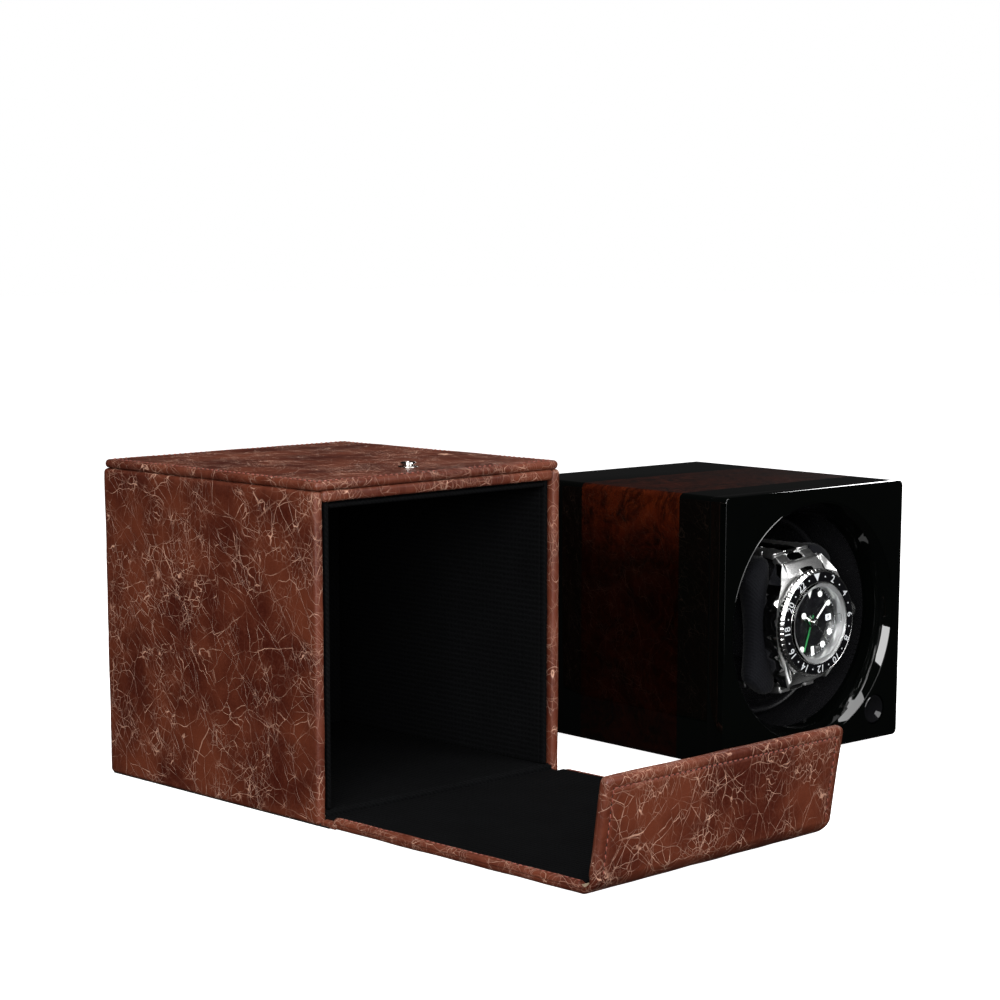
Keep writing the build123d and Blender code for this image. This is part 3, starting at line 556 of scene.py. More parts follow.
def ink(name, colour, roughness=0.5, sheen=0.0):
    """Paint or lume: nearly one colour, with a fine grain."""
    n = Nodes(name, Sheen_Weight=sheen)
    grain = n.noise(2600, 3.0, 0.6)
    shade = tuple(c * 0.82 for c in colour)
    return n.finish(n.mix(grain, rgb(*shade), rgb(*colour)), n.ramp(grain, 0.3, 0.8, roughness, roughness + 0.12),
                    n.bump(grain, 0.00001, 0.5))


def card():
    """Grey-brown bookbinding board with pressed fibres."""
    n = Nodes("binding_board", Specular_IOR_Level=0.2)
    fibre = n.noise(700, 5.0, 0.75, source=n.scaled((1, 1, 4)))
    return n.finish(n.mix(fibre, rgb(0.20, 0.15, 0.10), rgb(0.33, 0.26, 0.18)), n.ramp(fibre, 0.3, 0.8, 0.8, 0.95),
                    n.bump(fibre, 0.0001, 0.5))


LEATHER = leather()
LINING = cloth("lining_cloth", (0.0006, 0.0006, 0.0007), (0.0036, 0.0038, 0.0042), sheen=0.0)
BASE_CLOTH = cloth("base_cloth", (0.006, 0.006, 0.006), (0.014, 0.014, 0.014), 0.0006)
THREAD = ink("stitch_thread", (0.230, 0.052, 0.032), 0.6, 0.1)
# Needle holes are flat dark marks on the leather: painted shade where holes would be.
HOLE_SHADE = ink("needle_hole_shade", (0.006, 0.003, 0.0025), 0.8)
BOARD = card()
LACQUER = lacquer()
BURL = burl()
SATIN_BLACK = plastic("satin_black_plastic", (0.0045, 0.0045, 0.005), (0.007, 0.007, 0.008), 0.22, 0.32)
MATT_BLACK = plastic("textured_black_plastic", (0.010, 0.010, 0.010), (0.018, 0.018, 0.019), 0.5, 0.7, 0.00010, 900)
GREY_PLASTIC = plastic("grey_plastic", (0.030, 0.030, 0.033), (0.050, 0.050, 0.055), 0.45, 0.6)
ACETAL = plastic("acetal", (0.70, 0.69, 0.64), (0.80, 0.79, 0.75), 0.3, 0.42)
BUTTON = plastic("polished_black_plastic", (0.0025, 0.0025, 0.003), (0.004, 0.004, 0.0045), 0.06, 0.1, 0.000003)
FELT = cloth("felt", (0.010, 0.010, 0.010), (0.022, 0.022, 0.022), 0.0009, 0.6)
SATIN = cloth("cushion_satin", (0.0038, 0.0040, 0.0050), (0.0085, 0.0087, 0.0108), 0.00030, 0.04)
NICKEL = metal("nickel_plate", (0.62, 0.60, 0.57), (0.78, 0.76, 0.73), 0.08, 0.16, scratch=0.000002)
ZINC = metal("zinc_plate", (0.40, 0.41, 0.43), (0.58, 0.58, 0.58), 0.3, 0.45)
BRUSHED = metal("brushed_steel", (0.60, 0.60, 0.60), (0.80, 0.80, 0.79), 0.26, 0.38, (0.5, 0.5, 14), 1500)
CASE_STEEL = metal("case_steel", (0.66, 0.66, 0.66), (0.84, 0.84, 0.83), 0.36, 0.46, (0.5, 0.5, 14), 1500,
                   facing=-turn_axis)
SOFT_STEEL = metal("soft_polished_steel", (0.60, 0.60, 0.60), (0.78, 0.78, 0.77), 0.18, 0.26, scratch=0.0000003)
REHAUT_STEEL = metal("rehaut_steel", (0.58, 0.58, 0.58), (0.66, 0.66, 0.66), 0.34, 0.38, scale=60, scratch=0.0)
POLISHED = metal("polished_steel", (0.60, 0.60, 0.60), (0.74, 0.74, 0.73), 0.05, 0.10, scratch=0.0000015)
BRONZE = metal("bearing_bronze", (0.45, 0.28, 0.11), (0.62, 0.42, 0.19), 0.35, 0.5)
BRASS = metal("movement_plate", (0.45, 0.36, 0.16), (0.62, 0.52, 0.28), 0.25, 0.4)
CERAMIC = plastic("ceramic_insert", (0.0025, 0.0025, 0.003), (0.004, 0.004, 0.0048), 0.06, 0.1, 0.000002)
DIAL_BLACK = plastic("dial_lacquer", (0.0018, 0.0018, 0.0022), (0.003, 0.003, 0.0036), 0.10, 0.16, 0.000002)
LUME = ink("lume", (0.80, 0.82, 0.78), 0.45)
WHITE_INK = ink("white_ink", (0.62, 0.64, 0.66), 0.4)
GREEN = ink("green_lacquer", (0.006, 0.16, 0.035), 0.3)
CRYSTAL = glass("sapphire_glass")
CIRCUIT = plastic("green_laminate", (0.005, 0.070, 0.020), (0.010, 0.110, 0.035), 0.3, 0.45)

CAD_FINISHES = {
    "base_sheet": BASE_CLOTH, "floor_board": BOARD, "side_boards": BOARD, "roof_board": BOARD, "back_board": BOARD,
    "door_board": BOARD, "flap_board": BOARD, "inner_sleeve": SATIN_BLACK, "felt_feet": FELT, "rear_cover": MATT_BLACK,
    "cover_screws": ZINC, "motor_plate": GREY_PLASTIC, "drive_screws": ZINC, "shaft_bearings": BRONZE,
    "gear_motor": ZINC, "circuit_board": CIRCUIT, "board_posts": GREY_PLASTIC, "power_inlet": MATT_BLACK,
    "switch_board": CIRCUIT, "button_spring": ZINC, "rotor_shaft": ZINC, "drive_gear": ACETAL, "motor_pinion": ZINC,
    "holder_core": SATIN_BLACK, "holder_base": SATIN_BLACK, "case_back_cover": BRUSHED, "movement": BRASS,
}
for node, material in CAD_FINISHES.items():
    paint(frame["nodes"][node].data, material)


# ---- Travel case -------------------------------------------------------------------------------------

case_low, case_high = span("leather_wrap")
lip = span("lining_sides")[1]
inner = span("lining_roof")[1]
back_y = span("back_board")[0].y
roof_low = lip.z
skin_t = case_high.x - lip.x


def wall_skin():
    """Leather over both sides and the back: one slab, bent round the two back corners."""
    bend_r = 1.6
    side = case_high.y - bend_r - case_low.y
    quarter = bend_r * math.pi / 2
    across = 2 * (case_high.x - bend_r)
    total = 2 * side + 2 * quarter + across
    bends = [side + quarter * k / 5 for k in range(6)]
    bends += [total - b for b in bends]
    points, faces = slab((0, 0, case_low.z - 0.9), (total, skin_t, case_high.z), 1.5, 1.0, thick=1, step=2.6,
                         more={0: bends})
    for p in points:
        run = min(p.x, total - p.x)
        mirror = -1 if p.x < total / 2 else 1
        if run <= side:
            outer = (case_high.x, case_low.y + run)
        elif run <= side + quarter:
            turn = (run - side) / bend_r
            outer = (case_high.x - bend_r * (1 - math.cos(turn)), case_high.y - bend_r * (1 - math.sin(turn)))
        else:
            outer = (case_high.x - bend_r - (run - side - quarter), case_high.y)
        inside = (min(outer[0], lip.x), min(outer[1], back_y))
        share = p.y / skin_t
        p.x = mirror * (inside[0] + (outer[0] - inside[0]) * share)
        p.y = inside[1] + (outer[1] - inside[1]) * share
    return points, faces


def leather_piece(name, part, body, replaces, seed):
    """A leather skin: slightly uneven, and marked for wear."""
    mesh = to_mesh(name, part, sharp=60)
    relief(mesh, 0.16, 14, seed)
    mark_wear(mesh)
    return show(name, mesh, LEATHER, body, replaces)


leather_piece("case_wall_leather", wall_skin(), "case", ("leather_wrap",), 1)
roof_leather = slab((-lip.x + 0.05, case_low.y, roof_low), (lip.x - 0.05, back_y, case_high.z), 1.2, 1.0, step=2.6)
leather_piece("case_roof_leather", roof_leather, "case", (), 2)
cover_low, cover_high = span("cover_board")
leather_piece("case_cover_leather", slab(cover_low, cover_high, 1.5, 1.8, step=2.6), "case", ("cover_board",), 3)


def lining_piece(name, part, body, replaces, seed):
    """A cloth-covered board, slightly uneven."""
    mesh = to_mesh(name, part, sharp=60)
    relief(mesh, 0.08, 9, seed)
    return show(name, mesh, LINING, body, replaces)


def edged_lining(low, high, bead, groove, thick):
    """A lining board with a rolled bead along its front edge, and a groove behind the bead."""
    bead_high, board_low = list(high), list(low)
    bead_high[1] = low[1] + groove
    board_low[1] = low[1] + groove - 0.3
    bead_low = list(low)
    if low[thick] < 0:
        bead_low[thick] = high[thick] - bead
    else:
        bead_high[thick] = low[thick] + bead
    return merged(slab(bead_low, bead_high, 0.7, 0.7, thick=thick, step=3.0),
                  slab(board_low, high, 0.5, 0.5, thick=thick, step=5.0))


bead_t = 1.8
groove_d = 2.5
sides_low = span("lining_sides")[0]
for name, xs, replaced, seed in (("lining_left", (-lip.x, -inner.x), ("lining_sides",), 4),
                                 ("lining_right", (inner.x, lip.x), (), 5)):
    board = edged_lining((xs[0], sides_low.y, sides_low.z), (xs[1], back_y, lip.z), bead_t, groove_d, 0)
    lining_piece(name, board, "case", replaced, seed)
roof_low_corner, roof_high_corner = span("lining_roof")
lining_piece("lining_top", edged_lining(roof_low_corner, roof_high_corner, bead_t - 0.2, groove_d, 2),
             "case", ("lining_roof",), 6)
lining_piece("lining_bottom", slab(*span("lining_floor"), 0.65, 0.7, step=4.0), "case", ("lining_floor",), 7)
threshold = slab((-lip.x, case_low.y + 0.1, case_low.z), (lip.x, sides_low.y + 1.0, sides_low.z - 0.4), 0.5, 0.5,
                 step=4.0)
lining_piece("lining_threshold", threshold, "case", (), 14)
lining_piece("lining_rear", slab(*span("lining_back"), 0.5, 0.5, thick=1, step=6.0), "case", ("lining_back",), 8)


# ---- Door and flap: one leather skin, folded where they meet -------------------------------------------

flap_axis = Vector(joints["flap_hinge"]["pos_m"]) / MM
panel_high = span("door_leather")[1]
panel_x = panel_high.x
panel_t = panel_high.z
flap_top = span("flap_leather")[1].z
fold_turn = math.radians(90 - joints["flap_hinge"]["range_deg"][1])
flap_up = Vector((0, -math.cos(fold_turn), math.sin(fold_turn)))
flap_length = (flap_top - flap_axis.z) / flap_up.z
door_near = panel_high.y + 0.4
fold_run = 4.0
fold_start = door_near - flap_axis.y - fold_run / 2
panel_length = fold_start + fold_run + flap_length - fold_run / 2 + 1.2
border = 2.6
ditch_in = 3.4


def on_panel(x, run, depth):
    """Where a point of the unfolded door and flap goes: depth is measured from the inner face outwards."""
    if run <= fold_start:
        return Vector((x, door_near - run, panel_t - depth))
    turn = fold_turn * min(1.0, (run - fold_start) / fold_run)
    past = max(0.0, run - fold_start - fold_run)
    before = (1 - min(1.0, (run - fold_start) / fold_run)) * fold_run / 2
    after = min(1.0, (run - fold_start) / fold_run) * fold_run / 2
    spot = flap_axis + Vector((0, before, 0)) + flap_up * (past + after)
    outward = Vector((0, -math.sin(turn), -math.cos(turn)))
    return Vector((x, spot.y, spot.z)) + outward * depth


def panel_skin():
    """The leather of the door and flap, thinner at the fold and lower under the lining."""
    shelf = [panel_x - border, panel_x - border - 0.5] + [panel_x - ditch_in + d for d in (-0.7, 0, 0.7)]
    rise = [panel_length - ditch_in + d for d in (-0.7, 0, 0.7)]
    fold_cuts = [fold_start + fold_run * k / 8 for k in range(-4, 13)]
    points, faces = slab((-panel_x, 0, 0), (panel_x, panel_length, panel_t), 1.6, (2.0, 2.2), step=2.4,
                         more={0: [s * v for s in (-1, 1) for v in shelf], 1: fold_cuts + rise, 2: [panel_t / 2]})
    for p in points:
        depth = panel_t - p.z
        inset = min(panel_x - abs(p.x), panel_length - p.y)
        if abs(depth - panel_t / 2) < 0.02 and inset < 0.05:
            p.x, p.y = p.x * (1 - 0.45 / panel_x), min(p.y, panel_length - 0.45)
        if depth > panel_t - 0.3:
            depth -= 0.45 * max(0.0, 1 - abs(inset - ditch_in) / 0.7)
        middle = (p.y - fold_start) / fold_run
        dip = 0.7 * min(1.0, max(0.0, (inset - border) / 0.5))
        valley = max(0.0, 1 - abs(middle - 0.5) / 1.1)
        dip = max(dip, 2.3 * valley * valley * (3 - 2 * valley))
        if depth < panel_t / 2:
            depth = max(depth, min(dip, 2.4))
        moved = on_panel(p.x, p.y, depth)
        p.x, p.y, p.z = moved
    return points, faces


def across_fold(obj):
    """Bakes a piece that lies on both the door and the flap into its place."""
    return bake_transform(obj)


across_fold(leather_piece("door_flap_leather", panel_skin(), None, ("door_leather", "flap_leather"), 9))

lining_x = panel_x - border
door_lining = slab((-lining_x, flap_axis.y + 2.4, panel_t - 0.9), (lining_x, door_near - 0.4, panel_t + 0.05), 0.42,
                   0.5, step=3.0)
lining_piece("door_lining_cloth", door_lining, "door", ("door_lining",), 10)


def flap_lining():
    """The lining of the flap, leant to the flap's angle."""
    top = flap_length - border
    points, faces = slab((-lining_x, 2.6, -0.05), (lining_x, top, 0.9), 0.42, (0.5, 1.2), step=3.0)
    for p in points:
        spot = flap_axis + flap_up * p.y + Vector((0, -math.sin(fold_turn), -math.cos(fold_turn))) * p.z
        p.x, p.y, p.z = p.x, spot.y, spot.z
    return points, faces


lining_piece("flap_lining_cloth", flap_lining(), "flap", ("flap_lining",), 11)


def strip_across_hinge(name, low, high, edge, material, seed):
    """A soft strip that joins the case's floor to the door, baked in place on no body."""
    mesh = to_mesh(name, slab(low, high, edge, edge, step=1.2, more={0: [0]}), sharp=60)
    relief(mesh, 0.05, 6, seed)
    mark_wear(mesh)
    obj = show(name, mesh, material, None)
    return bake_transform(obj)


hinge_x = span("base_sheet")[1].x + 0.05
strip_across_hinge("hinge_leather", (-hinge_x, door_near - 2.0, -0.02), (hinge_x, case_low.y + 0.5, 2.2), 0.7,
                   LEATHER, 12)
strip_across_hinge("hinge_cloth", (-lining_x, door_near - 1.5, 1.9), (lining_x, sides_low.y + 0.6, 2.9), 0.45,
                   LINING, 13)


# ---- Stitching -----------------------------------------------------------------------------------------

stitch_pitch = 2.45
stitch_r = 0.26


def capsule(length, radius, rings=4, sides=7):
    """One stitch: a short rounded strand along X, which dips at its ends."""
    points, faces = [], []
    for ring in range(rings + 1):
        share = ring / rings
        x = (share - 0.5) * length
        bulge = math.sqrt(max(0.0, 1 - (2 * share - 1) ** 4))
        dip = -0.5 * radius * (2 * share - 1) ** 2
        for side in range(sides):
            angle = 2 * math.pi * side / sides
            points.append(Vector((x, math.cos(angle) * radius * bulge, dip + math.sin(angle) * radius * 0.8 * bulge)))
    for ring in range(rings):
        for side in range(sides):
            nxt = (side + 1) % sides
            row = ring * sides
            faces.append([row + side, row + nxt, row + sides + nxt, row + sides + side])
    return points, faces


def stitches(rows):
    """Stitches, and flat dark marks of painted shade at their needle holes, along rows of (point, along, normal) at
    each stitch's middle.
    """
    threads, holes = [], []
    for spot, along, normal in rows:
        side = normal.cross(along)
        skew = 0.12
        turned = (along + side * skew).normalized()
        across = normal.cross(turned)
        matrix = Matrix.Translation(spot) @ Matrix((turned, across, normal)).transposed().to_4x4()
        threads.append(placed(capsule(stitch_pitch * 0.74, stitch_r), matrix))
        # Each needle hole is a flat dark mark: painted shade standing in for a hole.
        hole = Matrix.Translation(spot + along * stitch_pitch / 2 - normal * 0.02)
        hole = hole @ Matrix((along, side, normal)).transposed().to_4x4() @ Matrix.Diagonal((1, 1, 0.25, 1))
        holes.append(placed(capsule(0.62, 0.24, 4, 6), hole))
    return merged(*threads), merged(*holes)


def straight_row(start, end, normal):
    """Stitch places along a straight line."""
    start, end = Vector(start), Vector(end)
    count = round((end - start).length / stitch_pitch)
    along = (end - start).normalized()
    return [(start + (end - start) * (k + 0.5) / count, along, Vector(normal)) for k in range(count)]


def stitched(name, rows, body, blend=False):
    """A line of stitches and the painted shade of its needle holes, on one body or laid across the door and flap."""
    threads, holes = stitches(rows)
    for part, label, material in ((threads, name, THREAD), (holes, name + "_hole_shades", HOLE_SHADE)):
        obj = piece(label, part, material, None if blend else body, sharp=80)
        if blend:
            across_fold(obj)


cover_in = 2.3
cx, cy0, cy1, cz = cover_high.x - cover_in, cover_low.y + cover_in, cover_high.y - cover_in, cover_high.z
cover_corners = [(-cx, cy0, cz), (cx, cy0, cz), (cx, cy1, cz), (-cx, cy1, cz)]
cover_rows = []
for k in range(4):
    cover_rows += straight_row(cover_corners[k], cover_corners[(k + 1) % 4], (0, 0, 1))
stitched("cover_stitches", cover_rows, "case")


def panel_row(xs, runs, depth, count):
    """Stitch places along a line on the unfolded door and flap, on its inner or outer face."""
    rows = []
    for k in range(count):
        share = (k + 0.5) / count
        x, run = (a + (b - a) * share for a, b in (xs, runs))
        dx, dr = xs[1] - xs[0], runs[1] - runs[0]
        small = 0.2 / math.hypot(dx, dr)
        here, ahead = on_panel(x, run, depth), on_panel(x + dx * small, run + dr * small, depth)
        inwards = (on_panel(x, run, depth - 0.5) - here).normalized()
        rows.append((here, (ahead - here).normalized(), inwards if depth < 1 else -inwards))
    return rows


flap_start = fold_start + fold_run + 0.8
panel_rows = []
for face_depth, inset in ((0.02, border - 0.75), (panel_t - 0.3, ditch_in)):
    x, top = panel_x - inset, panel_length - inset
    for side in (-x, x):
        for start, end in ((2.0, fold_start - 1.5), (flap_start, top)):
            panel_rows += panel_row((side, side), (start, end), face_depth, round((end - start) / stitch_pitch))
    panel_rows += panel_row((-x, x), (top, top), face_depth, round(2 * x / stitch_pitch))
stitched("panel_stitches", panel_rows, None, blend=True)


# ---- Press stud and its socket -------------------------------------------------------------------------

stud_low, stud_high = span("press_stud")
stud_centre = (stud_low + stud_high) / 2
STUD_UP = Matrix.Translation(Vector((stud_centre.x, stud_centre.y, stud_low.z)) * MM) @ Matrix.Rotation(
    math.radians(90), 4, "X")
stud_profile = soften([(0.0, 0.0), (3.5, 0.0), (3.5, 0.4), (2.1, 0.65), (1.9, 1.0), (2.8, 1.25), (2.65, 1.85),
                       (1.1, 2.0), (0.9, 1.65), (0.0, 1.6)], [0, 0.1, 0.2, 0.2, 0.15, 0.25, 0.3, 0.15, 0.1, 0], 4)
piece("press_stud_metal", lathe(stud_profile, 48), NICKEL, "case", ("press_stud",), STUD_UP, 50)
paint(frame["nodes"]["snap_socket"].data, NICKEL)


# ---- Winder housing ---------------------------------------------------------------------------------------

winder_w = 100.0
winder_d = 109.0
shell_low, shell_high = -50.0 + 0.5, 50.0 + 0.5
shell_corner = 2.2
panel_y = 8.0
band_y = (23.3, 75.0)
opening = 45.9
button_at = (36.3, -38.0)
button_hole_r = 5.9


def square_ring(corner=shell_corner, inset=0.0):
    """The housing's square outline, with rounded corners, set in by an amount."""
    half = winder_w / 2 - inset
    mid = (shell_low + shell_high) / 2
    outline = []
    for quarter, (sx, sz) in enumerate(((1, 1), (-1, 1), (-1, -1), (1, -1))):
        centre = (sx * (half - corner), mid + sz * (half - corner))
        outline += arc(corner, 90 * quarter, 90 * quarter + 90, 8, centre)
    return outline


def panel_mesh():
    """The front panel: a rounded slab with its opening and its button hole."""
    blank = to_mesh("panel_blank", extruded(square_ring(), 0.0, panel_y), IN_WINDER, 30)
    blank = bevelled(blank, 0.2, 3, 60)
    holes = [to_mesh(name, extruded(outline, -2, panel_y + 2), IN_WINDER) for name, outline in (
        ("panel_hole", arc(opening, 0, 360 - 2.5, 143)),
        ("button_hole", arc(button_hole_r, 0, 360 - 7.5, 47, button_at)))]
    return cut_out(blank, *holes)


show("front_panel_lacquer", ready(panel_mesh()), LACQUER, "winder", ("front_panel",))


def through_rings(rings):
    """A closed skin through rings of (outline, y), where the last ring joins the first."""
    count = len(rings[0][0])
    points = [Vector((x, y, z)) for outline, y in rings for x, z in outline]
    faces = []
    for row in range(len(rings)):
        here, ahead = row * count, (row + 1) % len(rings) * count
        for k in range(count):
            nxt = (k + 1) % count
            faces.append([here + k, here + nxt, ahead + nxt, ahead + k])
    return points, faces


def tube_part(front, back, wall):
    """A length of the housing: a square tube with a rounded outside."""
    outside, inside = square_ring(), square_ring(max(shell_corner - wall, 1.0), wall)
    return through_rings([(outside, front), (outside, back), (inside, back), (inside, front)])


def rear_part():
    """The rear of the housing, with its back edge rounded over."""
    rings = [(band_y[1], 0.0), (winder_d - 1.2, 0.0), (winder_d - 0.5, 0.2), (winder_d - 0.1, 0.7), (winder_d, 1.2),
             (winder_d, 3.0), (band_y[1], 3.0)]
    return through_rings([(square_ring(shell_corner - inset * 0.6, inset), y) for y, inset in rings])


shell_parts = merged(tube_part(panel_y, band_y[0], 4.5), rear_part())
piece("housing_lacquer", shell_parts, LACQUER, "winder", ("housing_shell",), IN_WINDER, 30)
piece("burl_veneer_band", tube_part(band_y[0], band_y[1], 0.6), BURL, "winder", ("burl_band",), IN_WINDER, 30)

trim_profile = soften([(45.88, 0.25), (45.35, 0.0), (43.5, 2.5), (42.0, 5.7), (41.0, 9.4), (41.0, 12.5), (44.4, 12.5),
                       (44.4, 8.0), (45.88, 8.0)], [0.15, 0.3, 2.2, 2.2, 0.6, 0.1, 0.1, 0.1, 0.1], 5)
piece("opening_trim_lacquer", lathe(trim_profile, 256), LACQUER, "winder", ("opening_trim",), IN_WINDER, 30)

button_profile = soften([(0.0, 1.55), (2.6, 1.25), (4.6, 0.35), (5.05, 0.15), (5.55, 0.45), (5.58, 8.2), (6.3, 8.3),
                         (6.3, 9.4), (0.0, 9.4)], [0, 0.8, 0.4, 0.3, 0.3, 0.1, 0.1, 0.1, 0], 4)
BUTTON_PLACE = IN_WINDER @ Matrix.Translation(Vector((button_at[0], 0, button_at[1])) * MM)
piece("push_button_cap", lathe(button_profile, 64), BUTTON, "button", ("push_button",), BUTTON_PLACE, 40)


# ---- Rotor cup ------------------------------------------------------------------------------------------------

cup_profile = soften([(0, 57.0), (33.3, 57.0), (36.3, 54.0), (36.3, 27.2), (36.9, 26.2), (37.7, 26.0), (38.4, 26.6),
                      (38.4, 58.5), (37.0, 60.0), (9, 60.0), (9, 64.0), (0, 64.0)],
                     [0, 2, 1, 0.4, 0.3, 0.3, 0.3, 0.5, 0.5, 0.1, 0.1, 0], 3)
piece("rotor_cup_shell", lathe(cup_profile, 192), SATIN_BLACK, "rotor", ("rotor_cup",), IN_HOLDER, 40)


# ---- Cushions -------------------------------------------------------------------------------------------------

cushion_scale = 10.0        # the cushions are filled at ten times their size, where cloth behaves evenly
fill_frames = 20
fill_pressure = 4.0
fill_cap = 0.010            # the furthest a point may move, in metres at that size


def cushion_start(side):
    """One cushion before it is filled: an upright cheek with a waist, a little smaller than its space."""
    low, high = (10.9, 10.4, -26.6), (24.9, 20.5, 26.6)
    points, faces = slab(low, high, 3.0, 4.5, thick=1, step=2.0)
    for p in points:
        outside = (p.x - low[0]) / (high[0] - low[0])
        waist = 3.8 * max(0.0, 1 - (p.z / 19.5) ** 2)
        shoulder = 7.4 * max(0.0, abs(p.z) - 19.5) / 8.0
        back = 3.4 * max(0.0, p.y - 14.5) / 6.0
        p.x = side * (p.x - outside * (waist + shoulder + back))
    return points, faces


def inflate(mesh, pressure, cap):
    """Fills a closed mesh like a cushion by cloth simulation, and keeps each point within cap of where it was."""
    obj = linked("filling", mesh)
    remesh = obj.modifiers.new("even", "REMESH")
    remesh.mode, remesh.voxel_size = "VOXEL", 0.0125
    even = evaluated(obj)
    obj.modifiers.clear()
    obj.data = even
    start = [v.co.copy() for v in even.vertices]
    cloth_modifier = obj.modifiers.new("fill", "CLOTH")
    settings = cloth_modifier.settings
    settings.quality = 6
    settings.mass = 0.15
    settings.use_pressure = True
    settings.uniform_pressure_force = pressure
    settings.effector_weights.gravity = 0.0
    cloth_modifier.point_cache.frame_start, cloth_modifier.point_cache.frame_end = 1, fill_frames
    scene = bpy.context.scene
    for number in range(1, fill_frames + 1):
        scene.frame_set(number)
    filled = evaluated(obj)
    for vertex, before in zip(filled.vertices, start):
        moved = vertex.co - before
        if moved.length > cap:
            vertex.co = before + moved.normalized() * cap
    obj.modifiers.clear()
    obj.data = filled
    scene.frame_set(1)
    smooth = obj.modifiers.new("smooth", "SUBSURF")
    smooth.levels = smooth.render_levels = 1
    result = evaluated(obj)
    bpy.data.objects.remove(obj)
    return result


for side, name in ((-1, "cushion_left"), (1, "cushion_right")):
    start_mesh = to_mesh(name + "_start", placed(cushion_start(side), Matrix.Scale(cushion_scale, 4)), sharp=180)
    filled_mesh = inflate(start_mesh, fill_pressure, fill_cap)
    filled_mesh.transform(IN_HOLDER @ Matrix.Scale(1 / cushion_scale, 4))
    filled_mesh.shade_smooth()
    cushion = show(name, filled_mesh, SATIN, "holder", ("cushions",) if side < 0 else ())


# ---- Watch ----------------------------------------------------------------------------------------------------

case_front = 4.6
lug_start = 16.5            # where the lugs start to slope away, above and below the centre


def case_part():
    """The middle of the watch case, with lugs that slope away."""
    flank_r, half_width, sweep = 37.4, 19.8, 39.9
    outline = arc(flank_r, 180 - sweep, 180 + sweep, 24, (flank_r - half_width, 0))
    outline += arc(flank_r, -sweep, sweep, 24, (half_width - flank_r, 0))
    points, faces = extruded(outline, case_front, 11.2)
    for p in points:
        if abs(p.z) > lug_start and p.y < 8:
            p.y = case_front + (abs(p.z) - lug_start) * 0.47
    return points, faces


def watch_case_mesh():
    """The watch case with its lug gaps and its bore cut out."""
    blank = to_mesh("case_blank", case_part(), IN_WATCH, 30)
    lugs = []
    for up in (-1, 1):
        low, high = sorted((up * 18.6, up * 30.0))
        lugs.append(to_mesh("lug_gap", grid_box((-10.1, 10.1), (0, 20), (low, high)), IN_WATCH))
        side = ((0, lug_start), (case_front, lug_start), (8.6, 25), (8.6, 32), (0, 32))
        slope = [Vector((x, y, up * z)) for x in (-30, 30) for y, z in side]
        faces = [[0, 1, 2, 3, 4], [9, 8, 7, 6, 5]] + [[k, (k + 1) % 5, (k + 1) % 5 + 5, k + 5] for k in range(5)]
        lugs.append(to_mesh("lug_slope", (slope, faces), IN_WATCH))
    bore = to_mesh("case_bore", extruded(arc(13.9, 0, 357, 119), 0, 30), IN_WATCH)
    return bevelled(cut_out(blank, *lugs, bore), 0.35, 3, 28)


show("watch_case_middle", ready(watch_case_mesh(), 25), CASE_STEEL, "holder", ("watch_case",))

guards = []
for up in (-1, 1):
    low, high = sorted((up * 3.6, up * 7.8))
    guards.append(slab((16.5, 5.6, low), (22.4, 9.5, high), 0.8, 1.4, thick=1, step=2))
piece("crown_guards", merged(*guards), POLISHED, "holder", (), IN_WATCH, 50)

collar = soften([(13.9, 1.6), (15.4, 1.6), (15.4, 4.8), (13.9, 4.8)], 0.1, 2)
rehaut = soften([(14.2, 1.5), (14.2, 5.4), (12.95, 5.4), (13.65, 1.5)], 0.06, 2)
piece("rehaut_ring", merged(lathe(collar), lathe(rehaut)), REHAUT_STEEL, "holder", (), IN_WATCH)

bezel_profile = soften([(15.6, 4.3), (19.3, 4.3), (20.5, 3.5), (20.5, 2.1), (19.7, 1.15), (19.35, 0.95), (19.3, 1.5),
                        (15.9, 1.5), (15.9, 0.75), (15.6, 0.75)], 0.12, 3)


def coin_edge(part):
    """Cuts small scallops into the outer rim of the bezel."""
    teeth, rim, depth = 120, 19.6, 0.32
    for p in part[0]:
        radius = math.hypot(p.x, p.z)
        if radius > rim:
            angle = math.atan2(p.z, p.x)
            share = min(1.0, (radius - rim) / 0.5)
            wave = max(0.0, math.cos(angle * teeth / 2)) ** 2
            scale = 1 - depth * share * wave / radius
            p.x, p.z = p.x * scale, p.z * scale
    return part


piece("bezel_ring", coin_edge(lathe(bezel_profile, 720)), SOFT_STEEL, "bezel", ("watch_bezel",),
      IN_WATCH, 30)
insert_profile = soften([(15.92, 1.45), (19.28, 1.45), (19.28, 1.02), (15.92, 0.78)], 0.05, 2)
piece("bezel_insert_ring", lathe(insert_profile, 192), CERAMIC, "bezel", ("bezel_insert",), IN_WATCH)


def text_part(words, size, depth):
    """Generic numerals as a thin solid in the plane facing the front, centred, size high."""
    curve = bpy.data.curves.new("numeral", "FONT")
    curve.body, curve.size, curve.extrude = words, size, depth / 2
    curve.align_x, curve.align_y = "CENTER", "CENTER"
    curve.resolution_u = 3
    obj = linked("numeral", curve)
    mesh = evaluated(obj)
    points = [Vector((v.co.x, -v.co.z, v.co.y)) for v in mesh.vertices]
    faces = [list(f.vertices) for f in mesh.polygons]
    bpy.data.objects.remove(obj)
    return points, faces


def on_clock(part, hours, radius, depth, whole=12, tilt=0.0):
    """A part drawn upright at 12, moved out to a radius and turned clockwise to a place on a dial."""
    turn = Matrix.Rotation(2 * math.pi * hours / whole, 4, "Y")
    return placed(part, turn @ Matrix.Translation((0, depth, radius)) @ Matrix.Rotation(tilt, 4, "X"))


